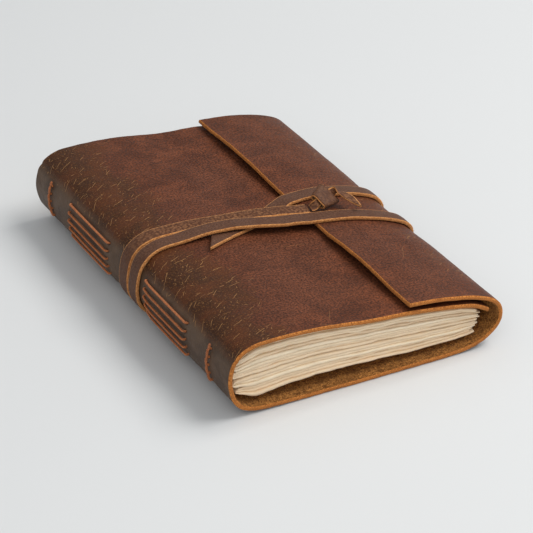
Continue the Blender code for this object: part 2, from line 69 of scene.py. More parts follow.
# Outer face of the hide, from the front cover's free edge round the spine, the back cover and the
# fore-edge to the flap's edge: (distance from the spine, height).
HIDE_PATH = [
    (121.5, 18.9), (113, 22.9), (98, 25.7), (80, 28.1), (62, 29.4), (54, 30.45), (43, 31.85),
    (30, 32.85), (15, 32.9), (9, 31.7), (5, 29.7), (2.2, 26.6), (0.7, 22.8), (0, 18), (0.6, 13),
    (2.2, 8.2), (5.2, 4.3), (9.5, 1.9), (15, 0.7), (24, 0.2), (36, 0), (48, 0), (60, 0), (72, 0),
    (86, 0), (100, 0.1), (111, 0.9), (118.6, 3.0), (124.3, 6.4), (127.3, 10.4), (128.0, 15.0),
    (126.5, 19.4), (122.5, 23.0), (116, 25.8), (108.5, 27.9), (97.5, 29.9), (88, 30.8),
    (82, 31.2),
]
# The closed path the strap is stretched along: straight over the hollow of the front cover, from
# the flap's edge to the shoulder, and the hide's outer face for the rest.
BRIDGE = [(62, 31.85), (54, 32.15), (43, 32.55)]
RIDE_FIRST = 4
RIDE_LAST = 36
BRIDGE_START = [(81, 31.25), (77, 31.35), (72.5, 31.5), (67.5, 31.65)]
RIDE_PATH = BRIDGE + HIDE_PATH[RIDE_FIRST + len(BRIDGE):RIDE_LAST + 1] + BRIDGE_START
LOOP = len(RIDE_PATH)
# What the free end lies on: the flap, a ramp down from its edge, and the cover.
TAIL_BED = [(110, 27.5), (97.5, 29.9), (88, 30.8), (82.5, 31.2), (79, 31.2), (74, 30.3),
            (68, 29.4), (62, 29.4), (54, 30.45), (43, 31.85), (30, 32.85), (15, 32.9)]

# How far the strap presses the hide in, by index along HIDE_PATH.
SPINE_PRESS = {9: 0, 10: 0.4, 11: 0.8, 12: 1.0, 14: 1.0, 15: 0.9, 16: 0.5, 17: 0.2, 18: 0}
BASE_PRESS = {14: 0, 15: 0.4, 16: 1.0, 17: 1.7, 18: 2.15, 26: 2.15, 27: 1.5, 28: 0.8, 29: 0}
FORE_PRESS = {26: 0, 27: 0.3, 28: 0.6, 29: 0.75, 32: 0.75, 33: 0.7, 34: 0.6, 35: 0.5,
              36: 0.45, 37: 0.4}
# The strap's centre line: (index along the closed path, counted on through both turns, y).
# Index 0 is the top of the cover 62 mm from the spine, 32 the flap 88 mm from the spine.
STRAP_LINE = {
    -4.45: -6.5, -4.0: -6.0, -3.0: -5.3, -2.0: -4.5, -1.0: -3.7, 0.0: -2.9, 1.0: -1.8, 2.0: -0.4,
    3.0: 0.7, 4.0: 0.9, 6.0: 0.8, 9.0: 0.6,
    11.0: 3.0, 13.0: 4.5, 14.0: 4.6, 16.6: 4.6, 20.0: -14.7, 22.0: -16.2, 26.0: -17.2,
    28.0: -18.8, 29.0: -18.5, 30.0: -17.8, 31.0: -16.3, 32.0: -15.0, 33.0: -14.3, 34.0: -13.6,
    35.0: -12.8, 36.0: -12.0, 37.0: -11.1, 38.0: -9.9, 39.0: -8.5, 40.0: -7.7, 42.0: -8.0,
    44.0: -8.5, 46.0: -8.6,
    48.0: -6.4, 50.0: -4.6, 51.0: -4.4, 53.6: -4.4, 57.0: 9.8, 61.0: 9.4, 64.0: 8.2, 66.0: 7.5,
    69.0: 7.0,
}
# Where the first turn rides over the second under the back cover, by index along HIDE_PATH.
CROSSING = {19.9: 0, 20.55: 1, 22.6: 1, 23.3: 0}
CROSSING_ROOM = {19.4: 0, 20.3: 1, 22.9: 1, 23.8: 0}
CROSS_RISE = 2.0
TROUGH_HALF = 5.9        # half width of the trough pressed under the back cover
FIRST_RISE = 0.5         # over the free end, on top of the cover
SECOND_RISE = 1.7
STRAP_STEP = 1.15        # between the sections of the strap's mesh
STRAP_SEED = 50
STRIP_SEED = 60
STRAP_START = -4.45      # index of the cut end beside the knot
STRAP_TURNED = 67.85     # index where the free end leaves the second turn
TAIL_TURN = (98.0, 7.1)  # where the free end turns back over the cover
TAIL_BEND = 30.0
TAIL_SLOPE = 0.46
TAIL_END = 32.5
TAIL_LENGTH = 62.0
TIP_SKEW = 5.3           # how far the cut of the free end slants
TIP_LENGTH = 9.0
PLIES = 3                # in the sewing thread
PLY_SHARE = 0.52         # a ply's radius and its distance from the middle, as shares of the cord's
PLY_SIDES = 6

# Heights of the rows of sewing on the spine, and of the folds between them.
SECTIONS = 5             # signatures, and strips of the spine
SEWING_Z = [24.6, 20.9, 17.2, 13.4, 9.7]
STRIP_EDGES_Z = [26.6, 22.75, 19.05, 15.3, 11.55, 7.9]
STITCH_GROUPS = {"head": (18.5, 58.0), "tail": (-17.0, -56.0)}
END_STITCH_Y = {"head": 78.5, "tail": -77.0}
WRAP_EDGES = [26.35, 28.0, 30.3, 32.35]
FOLD_REACH_SPINE = 1.8   # half width of the stretch round a fold
FOLD_REACH_WRAP = 4.0
SPINE_BODIES = ["front", "section_1", "section_2", "section_3", "section_4", "back"]
WRAP_BODIES = ["back", "wrap_lower_body", "wrap_middle_body", "wrap_upper_body", "flap_body"]

# The text block: heights of its upper and lower faces, and the folds inside the spine.
BLOCK_TOP = [(5, 26.8), (8, 28.6), (10, 29.5), (15, 30.5), (25, 30.6), (37, 30.0), (48, 28.9),
             (62, 27.0), (80, 25.6), (92, 24.1), (104, 22.2), (112, 20.6), (121, 17.2)]
BLOCK_BOTTOM = [(5, 9.6), (8, 7.2), (11, 5.9), (15, 5.7), (20, 6.2), (26, 7.0), (40, 7.5),
                (50, 7.3), (60, 6.9), (72, 6.5), (85, 5.5), (105, 5.3), (114, 5.9), (121, 7.6)]
FOLD_X = [5.1, 3.9, 3.4, 3.7, 5.3]
FOLD_Z = [24.6, 20.9, 17.0, 13.2, 9.6]
FOLD_HALF = [1.7, 1.6, 1.6, 1.5, 1.1]
PAGE_REACH = [119.0, 120.3, 121.0, 120.0, 117.5]


# ---------------------------------------------------------------- small mathematics
def smooth(edge0, edge1, value):
    """Nought below edge0, one above edge1, and an easy slope between."""
    x = np.clip((np.asarray(value, float) - edge0) / (edge1 - edge0), 0.0, 1.0)
    return x * x * (3 - 2 * x)


def table(points, x):
    """Value at x, straight between the given points."""
    return np.interp(x, sorted(points), [points[k] for k in sorted(points)])


def soft_table(points, x):
    """As table, with no sudden change of slope at the given points."""
    keys = np.array(sorted(points), float)
    i = np.clip(np.searchsorted(keys, x) - 1, 0, len(keys) - 2)
    share = smooth(0, 1, np.clip((x - keys[i]) / (keys[i + 1] - keys[i]), 0, 1))
    values = np.array([points[k] for k in sorted(points)], float)
    return values[i] + (values[i + 1] - values[i]) * share


def spline(points, t, closed=False):
    """Smooth curve through points at indices t: rows of coordinates."""
    points = np.asarray(points, float)
    t = np.atleast_1d(np.asarray(t, float))
    i = np.floor(t).astype(int)
    if closed:
        a, b, c, d = (points[(i + k) % len(points)] for k in (-1, 0, 1, 2))
    else:
        i = np.clip(i, 0, len(points) - 2)
        padded = np.vstack([2 * points[0] - points[1], points, 2 * points[-1] - points[-2]])
        a, b, c, d = (padded[i + k + 1] for k in (-1, 0, 1, 2))
    f = (t - i)[:, None]
    return 0.5 * (2 * b + (c - a) * f + (2 * a - 5 * b + 4 * c - d) * f * f
                  + (3 * b - a - 3 * c + d) * f ** 3)


def path_at(points, t, closed=False):
    """Points, directions and outward normals along a path in the XZ plane."""
    place = spline(points, t, closed)
    place[:, 1] = np.maximum(place[:, 1], 0.0)
    along = spline(points, np.asarray(t) + 0.04, closed) - spline(points, np.asarray(t) - 0.04,
                                                                  closed)
    along /= np.linalg.norm(along, axis=1)[:, None]
    return place, along, np.stack([along[:, 1], -along[:, 0]], axis=1)


def hash_noise(ix, iy, seed):
    """Random value between -1 and 1 for each whole grid place."""
    mixed = np.sin(ix * 127.1 + iy * 311.7 + seed * 74.7) * 43758.5453
    return (mixed - np.floor(mixed)) * 2 - 1


def wander(x, y, size, seed):
    """Smooth random surface between -1 and 1, with features of the given size."""
    x, y = np.asarray(x, float) / size, np.asarray(y, float) / size
    ix, iy = np.floor(x), np.floor(y)
    fx, fy = x - ix, y - iy
    fx, fy = fx * fx * (3 - 2 * fx), fy * fy * (3 - 2 * fy)
    low = hash_noise(ix, iy, seed) * (1 - fx) + hash_noise(ix + 1, iy, seed) * fx
    high = hash_noise(ix, iy + 1, seed) * (1 - fx) + hash_noise(ix + 1, iy + 1, seed) * fx
    return low * (1 - fy) + high * fy


def strap_line_at(r):
    """Y of the strap's middle line at ride index r."""
    keys = sorted(STRAP_LINE)
    i = int(np.clip(np.searchsorted(keys, r, side="right") - 1, 0, len(keys) - 2))
    a, b = keys[i], keys[i + 1]
    before, after = keys[max(0, i - 1)], keys[min(len(keys) - 1, i + 2)]
    pa, pb = STRAP_LINE[a], STRAP_LINE[b]
    ma = (pb - STRAP_LINE[before]) / (b - before)
    mb = (STRAP_LINE[after] - pa) / (after - a)
    h, f = b - a, (r - a) / (b - a)
    return ((2 * f ** 3 - 3 * f * f + 1) * pa + (f ** 3 - 2 * f * f + f) * h * ma
            + (-2 * f ** 3 + 3 * f * f) * pb + (f ** 3 - f * f) * h * mb)


# ---------------------------------------------------------------- the hide's shape
def plateau(y, low, high, fade):
    """One between low and high, fading to nothing beyond."""
    return smooth(low - fade, low, y) * (1 - smooth(high, high + fade, y))


def press(t, y):
    """Depth that the strap presses the hide in, for rows t and columns y."""
    t, y = np.atleast_1d(t)[:, None], np.atleast_1d(y)[None, :]
    spine = np.where((t >= 9) & (t <= 18), table(SPINE_PRESS, t), 0) * plateau(y, -13.2, 8.3, 12)
    fore = np.where(t >= 26, table(FORE_PRESS, t), 0) * plateau(y, -22.5, 12.5, 20)
    first = np.array([[strap_line_at(r)] for r in t[:, 0] - RIDE_FIRST])
    second = np.array([[strap_line_at(r)] for r in t[:, 0] - RIDE_FIRST + LOOP])
    under = table(BASE_PRESS, t)
    deeper = under + (CROSS_RISE + 0.15) * soft_table(CROSSING_ROOM, t)
    base = np.maximum(deeper * plateau(y, first - TROUGH_HALF, first + TROUGH_HALF, 7),
                      under * plateau(y, second - TROUGH_HALF, second + TROUGH_HALF, 7))
    return spine + fore + np.where((t >= 14) & (t <= 29), base, 0)


def flap_lift(t, y):
    """The flap's edge springs up a little on either side of the strap."""
    t, y = np.atleast_1d(t)[:, None], np.atleast_1d(y)[None, :]
    away = np.exp(-((np.abs(y) - 54.0) / 24.0) ** 2)
    return 1.2 * away * smooth(34, 37, t)


ALL_T = np.linspace(0, len(HIDE_PATH) - 1, 3701)
ALL_S = np.concatenate([[0], np.cumsum(np.linalg.norm(
    np.diff(spline(HIDE_PATH, ALL_T), axis=0), axis=1))])
HIDE_LENGTH = ALL_S[-1]


def index_at_height(z):
    """Path index on the spine where the outer face is at height z."""
    t = np.linspace(10.0, 16.5, 2001)
    return float(np.interp(-z, -spline(HIDE_PATH, t)[:, 1], t))


def step_along(t, distance):
    """Path index a distance further along the outer face than index t."""
    return float(np.interp(np.interp(t, ALL_T, ALL_S) + distance, ALL_S, ALL_T))


def arc(t):
    """Distance along the outer face from its start to path index t."""
    return float(np.interp(t, ALL_T, ALL_S))


def hide_point(t, y, depth):
    """One point at a depth below the hide's outer face."""
    (place,), _, (normal,) = path_at(HIDE_PATH, [t])
    d = float(press(t, y)[0, 0]) + depth
    return np.array([place[0] - WIDTH / 2 - normal[0] * d, y,
                     place[1] - normal[1] * d + float(flap_lift(t, y)[0, 0])])


STRIP_EDGES = [index_at_height(z) for z in STRIP_EDGES_Z]
STRIP_MIDDLES = [(a + b) / 2 for a, b in zip(STRIP_EDGES, STRIP_EDGES[1:])]
WRAP_MIDDLES = [(a + b) / 2 for a, b in zip(WRAP_EDGES, WRAP_EDGES[1:])]
SEWING_T = [index_at_height(z) for z in SEWING_Z]
HOLES = [(arc(t), y) for t in SEWING_T for ys in STITCH_GROUPS.values() for y in ys]
HOLES += [(arc(t) + 0.55, y) for t in SEWING_T for y in END_STITCH_Y.values()]


# ---------------------------------------------------------------- meshes
def attribute(mesh, name, values):
    """Stores a number or a vector for each point, for the materials to read."""
    kind = "FLOAT_VECTOR" if np.ndim(values) == 2 else "FLOAT"
    field = "vector" if kind == "FLOAT_VECTOR" else "value"
    made = mesh.attributes.new(name, kind, "POINT")
    made.data.foreach_set(field, np.asarray(values, np.float32).ravel())


class Build:
    """Collects points and faces of one piece, with a texture place and a material per face."""

    def __init__(self):
        self.points, self.flat, self.zones = [], [], []
        self.faces, self.kinds, self.smooths = [], [], []

    def add(self, points, flat=None, zones=None):
        first = len(self.points)
        points = np.asarray(points, float).reshape(-1, 3)
        self.points.extend(points)
        self.flat.extend(points if flat is None else np.asarray(flat, float).reshape(-1, 3))
        self.zones.extend(np.zeros((len(points), 3)) if zones is None
                          else np.asarray(zones, float).reshape(-1, 3))
        return first

    def face(self, corners, kind=0, smoothed=True):
        self.faces.append([int(c) for c in corners])
        self.kinds.append(kind)
        self.smooths.append(smoothed)

    def rings(self, rings, flats, kinds, zones=None, cap_kind=None):
        """Closed tube through rings of points; kinds gives a material for each side."""
        count = len(rings[0])
        start = self.add(rings, flats, zones)
        for r in range(len(rings) - 1):
            for k in range(count):
                a, b = start + r * count + k, start + r * count + (k + 1) % count
                self.face((a, b, b + count, a + count), kinds[k])
        kind = kinds[0] if cap_kind is None else cap_kind
        last = start + (len(rings) - 1) * count
        self.face([start + k for k in reversed(range(count))], kind, False)
        self.face([last + k for k in range(count)], kind, False)

    def fibre(self, root, direction, length, width, kind):
        """Loose leather fibre: a thin three-sided spike with one bend."""
        direction = direction / np.linalg.norm(direction)
        side = np.cross(direction, rng.normal(size=3))
        side /= np.linalg.norm(side)
        other = np.cross(direction, side)
        bend = (side * rng.normal(0, 0.3) + other * rng.normal(0, 0.3)) * length
        points = []
        for share, wide in ((0.0, 1.0), (0.55, 0.7)):
            middle = root + direction * length * share + bend * share ** 2
            for k in range(3):
                angle = 2 * math.pi * k / 3
                points.append(middle + (side * math.cos(angle) + other * math.sin(angle))
                              * width * wide)
        points.append(root + direction * length * 0.95 + bend)
        first = self.add(points)
        self.face((first, first + 2, first + 1), kind)
        for k in range(3):
            m = (k + 1) % 3
            self.face((first + k, first + m, first + 3 + m, first + 3 + k), kind)
            self.face((first + 3 + k, first + 3 + m, first + 6), kind)

    def piece(self, name, materials, normals=None):
        mesh = bpy.data.meshes.new(name)
        mesh.from_pydata(np.asarray(self.points) * MM, [], self.faces)
        for material in materials:
            mesh.materials.append(material)
        mesh.polygons.foreach_set("material_index", self.kinds)
        mesh.polygons.foreach_set("use_smooth", self.smooths)
        attribute(mesh, "flat", self.flat)
        for channel, zone in enumerate(("zone_a", "zone_b", "zone_hole_shade")):
            attribute(mesh, zone, np.asarray(self.zones)[:, channel])
        mesh.update()
        if normals:
            wanted = np.zeros((len(mesh.loops), 3))
            for face, smoothed in zip(mesh.polygons, self.smooths):
                for loop in face.loop_indices:
                    corner = mesh.loops[loop].vertex_index
                    if smoothed and corner in normals:
                        wanted[loop] = normals[corner]
            mesh.normals_split_custom_set([tuple(n) for n in wanted])
        made = bpy.data.objects.new(name, mesh)
        bpy.context.scene.collection.objects.link(made)
        return made


# ---------------------------------------------------------------- materials
class Graph:
    """Short words for building a material's nodes."""

    def __init__(self, name):
        self.material = bpy.data.materials.new(name)
        self.material.use_nodes = True
        self.tree = self.material.node_tree
        self.shader = self.tree.nodes["Principled BSDF"]

    def node(self, kind, settings=None, **inputs):
        made = self.tree.nodes.new(kind)
        for key, value in (settings or {}).items():
            setattr(made, key, value)
        for key, value in inputs.items():
            self.set(made.inputs[key.replace("_", " ")], value)
        return made

    def set(self, socket, value):
        if isinstance(value, bpy.types.NodeSocket):
            self.tree.links.new(value, socket)
        elif isinstance(value, (tuple, list)) and socket.type == "RGBA":
            socket.default_value = (*value, 1.0)
        else:
            socket.default_value = value

    def field(self, name, output="Fac"):
        made = self.node("ShaderNodeAttribute", {"attribute_name": name})
        return made.outputs[output]

    def math(self, operation, *values, clamp=False):
        made = self.node("ShaderNodeMath", {"operation": operation, "use_clamp": clamp})
        for socket, value in zip(made.inputs, values):
            self.set(socket, value)
        return made.outputs[0]

    def range(self, value, low, high, out_low=0.0, out_high=1.0, soft=True):
        made = self.node("ShaderNodeMapRange",
                         {"interpolation_type": "SMOOTHSTEP" if soft else "LINEAR"})
        for key, entry in (("Value", value), ("From Min", low), ("From Max", high),
                           ("To Min", out_low), ("To Max", out_high)):
            self.set(made.inputs[key], entry)
        return made.outputs[0]

    def mix(self, share, first, second, blend="MIX"):
        made = self.node("ShaderNodeMix", {"data_type": "RGBA", "blend_type": blend})
        self.set(made.inputs["Factor"], share)
        self.set(made.inputs[6], first)
        self.set(made.inputs[7], second)
        return made.outputs[2]

    def stretch(self, vector, scale):
        made = self.node("ShaderNodeVectorMath", {"operation": "MULTIPLY"})
        self.set(made.inputs[0], vector)
        self.set(made.inputs[1], scale)
        return made.outputs[0]

    def noise(self, vector, size, detail=3.0, rough=0.55, distortion=0.0, output="Fac"):
        made = self.node("ShaderNodeTexNoise", Vector=vector, Scale=1.0 / size, Detail=detail,
                         Roughness=rough, Distortion=distortion)
        return made.outputs[output]

    def cells(self, vector, size, feature="F1", output="Distance", randomness=1.0):
        made = self.node("ShaderNodeTexVoronoi", {"feature": feature}, Vector=vector,
                         Scale=1.0 / size, Randomness=randomness)
        return made.outputs[output]

    def bump(self, height, distance, strength=1.0, below=None):
        made = self.node("ShaderNodeBump", Height=height, Distance=distance * MM,
                         Strength=strength)
        if below is not None:
            self.set(made.inputs["Normal"], below)
        return made.outputs[0]

    def scratches(self, vector, size, length, width, angle, spread, share):
        """One short straight mark in some of the texture's cells, turned at random."""
        wobble = self.noise(vector, 4.0, 2.0, 0.5, output="Color")
        shifted = self.node("ShaderNodeVectorMath", {"operation": "MULTIPLY_ADD"})
        self.set(shifted.inputs[0], wobble)
        self.set(shifted.inputs[1], (1.1, 1.1, 0.0))
        self.set(shifted.inputs[2], vector)
        cell = self.node("ShaderNodeTexVoronoi", {"voronoi_dimensions": "2D"},
                         Vector=shifted.outputs[0], Scale=1.0 / size)
        chance = self.node("ShaderNodeSeparateColor", Color=cell.outputs["Color"])
        local = self.node("ShaderNodeVectorMath", {"operation": "SUBTRACT"})
        self.set(local.inputs[0], shifted.outputs[0])
        self.set(local.inputs[1], cell.outputs["Position"])
        turn = self.range(chance.outputs[0], 0, 1, angle - spread, angle + spread, soft=False)
        turned = self.node("ShaderNodeVectorRotate", {"rotation_type": "Z_AXIS"},
                           Vector=local.outputs[0], Angle=turn)
        parts = self.node("ShaderNodeSeparateXYZ", Vector=turned.outputs[0])
        half = self.range(chance.outputs[1], 0, 1, length * 0.12, length * 0.5, soft=False)
        along = self.math("DIVIDE", self.math("ABSOLUTE", parts.outputs[0]), half)
        across = self.math("DIVIDE", self.math("ABSOLUTE", parts.outputs[1]), width / 2)
        ends = self.range(along, 0.55, 1.0, 1.0, 0.0)
        line = self.range(across, 0.35, 1.0, 1.0, 0.0)
        chosen = self.math("LESS_THAN", chance.outputs[2], share)
        return self.math("MULTIPLY", self.math("MULTIPLY", ends, line), chosen)

    def finish(self, colour, roughness, normal=None, specular=0.5, sheen=0.0,
               sheen_tint=(1, 1, 1), sheen_roughness=0.5):
        self.set(self.shader.inputs["Base Color"], colour)
        self.set(self.shader.inputs["Roughness"], roughness)
        self.shader.inputs["Specular IOR Level"].default_value = specular
        self.shader.inputs["Sheen Weight"].default_value = sheen
        self.shader.inputs["Sheen Roughness"].default_value = sheen_roughness
        self.shader.inputs["Sheen Tint"].default_value = (*sheen_tint, 1.0)
        if normal is not None:
            self.set(self.shader.inputs["Normal"], normal)
        return self.material


def grain_leather():
    """Outer face of the hide. zone_a is the spine, zone_b the worn shoulder, the third zone
    painted shade in the dimples at the sewing holes.
    """
    g = Graph("oiled_leather_grain")
    flat = g.field("flat", "Vector")
    broad = g.noise(flat, 55.0, 2.0, 0.5)
    patch = g.noise(flat, 13.0, 5.0, 0.62, 0.4)
    fine = g.noise(flat, 0.9, 3.0, 0.65)
    cells = g.cells(flat, 0.85, "F1")
    deep = g.mix(g.range(patch, 0.36, 0.66), (0.086, 0.025, 0.0105), (0.148, 0.044, 0.018))
    colour = g.mix(g.range(broad, 0.35, 0.65, 0.0, 0.5), deep, (0.128, 0.044, 0.022))
    smoke = g.noise(g.stretch(flat, (0.35, 1.0, 1.0)), 12.0, 4.0, 0.6, 1.2)
    veins = g.range(g.math("ABSOLUTE", g.math("SUBTRACT", smoke, 0.5)), 0.0, 0.04, 0.38, 0.0)
    colour = g.mix(veins, colour, (0.058, 0.021, 0.011))
    grit = g.range(fine, 0.36, 0.66, 0.46, 1.55)
    speck = g.mix(1.0, colour, g.node("ShaderNodeCombineColor", Red=grit, Green=grit,
                                      Blue=grit).outputs[0], "MULTIPLY")
    # The shoulder is darker and warmer, worn through to gold specks.
    ragged = g.math("ADD", g.field("zone_b"), g.range(patch, 0.3, 0.7, -0.28, 0.28))
    shoulder = g.range(ragged, 0.25, 0.8)
    gold = g.range(g.noise(flat, 0.75, 2.0, 0.7), 0.52, 0.68, 0.0, 0.75)
    warm = g.mix(gold, (0.040, 0.0150, 0.0060), (0.235, 0.108, 0.032))
    warm = g.mix(g.range(patch, 0.4, 0.62, 0.0, 0.35), warm, (0.150, 0.041, 0.012))
    colour = g.mix(g.math("MULTIPLY", shoulder, 0.86), speck, warm)
    # The spine is greyer.
    dusty = g.mix(g.range(patch, 0.35, 0.65), (0.072, 0.043, 0.027), (0.118, 0.072, 0.045))
    dusty = g.mix(g.range(fine, 0.5, 0.75, 0.0, 0.4), dusty, (0.160, 0.100, 0.056))
    colour = g.mix(g.field("zone_a"), colour, dusty)
    # Painted shade: near black in the dimples round the sewing holes.
    colour = g.mix(g.field("zone_hole_shade"), colour, (0.018, 0.009, 0.006))
    # Scratches: many by the shoulder, a few elsewhere.
    few = g.scratches(flat, 26.0, 13.0, 0.22, 0.45, 0.9, 0.42)
    some = g.scratches(flat, 5.4, 9.5, 0.26, 0.52, 0.35, 0.60)
    many = g.scratches(flat, 2.4, 2.2, 0.24, 0.52, 1.1, 0.26)
    worn = g.range(ragged, 0.28, 0.62)
    marks = g.math("MAXIMUM", g.math("MULTIPLY", g.math("MAXIMUM", some, many), worn),
                   g.math("MULTIPLY", few, 0.42))
    colour = g.mix(g.math("MULTIPLY", marks, 0.9), colour, (0.52, 0.265, 0.095))
    height = g.math("ADD", g.math("MULTIPLY", cells, 0.55), g.math("MULTIPLY", fine, 0.6))
    grain = g.bump(height, 0.10)
    soft = g.bump(g.noise(flat, 6.0, 3.0, 0.6), 0.35, 1.0, grain)
    cut = g.bump(marks, -0.10, 1.0, soft)
    rough = g.range(fine, 0.3, 0.7, 0.40, 0.58)
    return g.finish(colour, rough, cut, 0.15)


def raw_edge():
    """Cut edge of the hide: orange-tan fibres, darker where it was handled."""
    g = Graph("raw_leather_edge")
    flat = g.field("flat", "Vector")
    fibre = g.noise(g.stretch(flat, (1.0, 1.0, 2.2)), 0.55, 4.0, 0.65)
    patch = g.noise(flat, 7.0, 3.0, 0.6)
    colour = g.mix(g.range(fibre, 0.32, 0.68), (0.27, 0.078, 0.014), (0.70, 0.270, 0.062))
    colour = g.mix(g.range(patch, 0.4, 0.75, 0.0, 0.5), colour, (0.30, 0.105, 0.028))
    return g.finish(colour, 0.82, g.bump(fibre, 0.22), 0.15, 0.08, (1.0, 0.75, 0.5))


def suede(name, dark, light):
    """Flesh side of the hide: a short velvety nap in curly tufts."""
    g = Graph(name)
    flat = g.field("flat", "Vector")
    nap = g.noise(flat, 1.4, 4.0, 0.7, 1.8)
    tuft = g.noise(flat, 4.5, 3.0, 0.6, 0.8)
    colour = g.mix(g.range(nap, 0.38, 0.64), dark, light)
    colour = g.mix(g.range(tuft, 0.35, 0.7, 0.0, 0.45), colour, dark)
    return g.finish(colour, 0.9, g.bump(nap, 0.6), 0.08, 0.08, (1.0, 0.82, 0.55), 0.6)


def strap_top():
    """Grain face of the strap: pebbled and worn light on its first run, darker further on."""
    g = Graph("strap_leather_grain")
    flat = g.field("flat", "Vector")
    pebble = g.cells(flat, 1.05, "SMOOTH_F1")
    fine = g.noise(flat, 0.8, 4.0, 0.65)
    patch = g.noise(flat, 9.0, 3.0, 0.6)
    light = g.mix(g.range(pebble, 0.1, 0.62), (0.255, 0.112, 0.048), (0.085, 0.030, 0.012))
    dark = g.mix(g.range(fine, 0.35, 0.65), (0.074, 0.031, 0.017), (0.142, 0.066, 0.038))
    colour = g.mix(g.field("zone_a"), dark, light)
    colour = g.mix(g.range(patch, 0.42, 0.7, 0.0, 0.5), colour, (0.085, 0.030, 0.014))
    colour = g.mix(g.range(fine, 0.62, 0.74, 0.0, 0.35), colour, (0.30, 0.150, 0.068))
    colour = g.mix(g.field("zone_b"), colour, (0.42, 0.205, 0.080))
    height = g.math("ADD", g.math("MULTIPLY", pebble, -0.8), g.math("MULTIPLY", fine, 0.4))
    return g.finish(colour, g.range(fine, 0.3, 0.7, 0.48, 0.66), g.bump(height, 0.22), 0.18)


def strap_edge():
    """Cut edge of the strap, a little lighter than the hide's."""
    g = Graph("strap_raw_edge")
    flat = g.field("flat", "Vector")
    fibre = g.noise(g.stretch(flat, (0.6, 1.0, 1.6)), 0.5, 4.0, 0.65)
    colour = g.mix(g.range(fibre, 0.3, 0.7), (0.33, 0.105, 0.020), (0.74, 0.350, 0.120))
    return g.finish(colour, 0.8, g.bump(fibre, 0.2), 0.25, 0.15, (1.0, 0.8, 0.55))


def paper():
    """Handmade paper. zone_a is a tone for each leaf, zone_b the deckle edge."""
    g = Graph("handmade_paper_fibre")
    flat = g.field("flat", "Vector")
    pulp = g.noise(flat, 1.6, 5.0, 0.65)
    cloud = g.noise(flat, 12.0, 3.0, 0.6)
    colour = g.mix(g.field("zone_a"), (0.86, 0.655, 0.440), (0.97, 0.825, 0.615))
    colour = g.mix(g.range(cloud, 0.4, 0.7, 0.0, 0.3), colour, (0.66, 0.510, 0.335))
    colour = g.mix(g.range(pulp, 0.55, 0.8, 0.0, 0.35), colour, (0.90, 0.80, 0.63))
    fleck = g.range(g.noise(flat, 0.7, 2.0, 0.5), 0.74, 0.80, 0.0, 0.5)
    colour = g.mix(fleck, colour, (0.33, 0.20, 0.10))
    return g.finish(colour, 0.92, g.bump(pulp, 0.25), 0.2, 0.1, (1.0, 0.95, 0.85))


def waxed_thread():
    """Burnt-orange thread, streaked along each ply."""
    g = Graph("waxed_thread_ply")
    flat = g.field("flat", "Vector")
    ply = g.noise(g.stretch(flat, (1.0, 3.0, 3.0)), 0.7, 3.0, 0.6)
    patch = g.noise(flat, 8.0, 2.0, 0.5)
    colour = g.mix(g.range(ply, 0.3, 0.7), (0.34, 0.090, 0.024), (0.72, 0.260, 0.090))
    colour = g.mix(g.range(patch, 0.45, 0.7, 0.0, 0.45), colour, (0.25, 0.070, 0.028))
    return g.finish(colour, 0.55, g.bump(ply, 0.08), 0.4, 0.1, (1.0, 0.7, 0.5))


GRAIN = grain_leather()
RAW = raw_edge()
SUEDE = suede("suede_flesh_side", (0.130, 0.044, 0.008), (0.660, 0.290, 0.072))
STRAP_TOP = strap_top()
STRAP_EDGE = strap_edge()
STRAP_UNDER = suede("strap_flesh_side", (0.130, 0.060, 0.022), (0.330, 0.180, 0.080))
PAPER = paper()
THREAD = waxed_thread()

# ---------------------------------------------------------------- the hide
OUTER, EDGE, INNER = 0, 1, 2
OUTER_ROUND = 0.55       # radius of the edge on the grain side
INNER_ROUND = 0.25
EDGE_LAYERS = (0.25, 0.5, 0.75)
WORN_RIM = 0.34          # width of the raw colour round each face
FIBRES_PER_MM = 3.2      # along the ends of the hide
FIBRES_ON_FREE_EDGE = 520


def spaced(low, high, step_at):
    """Places from low to high, as far apart as step_at says."""
    places = [low]
    while places[-1] < high:
        places.append(places[-1] + step_at(places[-1]))
    places = np.array(places)
    return low + (places - low) * (high - low) / (places[-1] - low)


def row_step(s):
    """Mesh step along the path, finer at the edges, the spine and the fore-edge."""
    from_free = min(s, HIDE_LENGTH - s)
    if from_free < 0.9:
        return 0.22
    if arc(10) < s < arc(17):
        return 0.62
    if arc(26) < s < arc(34):
        return 1.3
    return min(2.1, 0.5 + from_free * 0.3)


def column_step(y):
    """Mesh step along the spine, finer at the ends and at the sewing holes."""
    from_end = END_Y - abs(y)
    if from_end < 0.9:
        return 0.2
    near_hole = min(abs(y - hole) for _, hole in HOLES)
    if near_hole < 2.2:
        return 0.42
    return min(1.6 if abs(y) < 26 else 2.2, 0.45 + from_end * 0.3)


def rounding(distance, radius):
    """How far a rounded edge lies below the face, at a distance from the edge."""
    inside = np.clip(radius - distance, 0, radius)
    return radius - np.sqrt(radius ** 2 - inside ** 2)


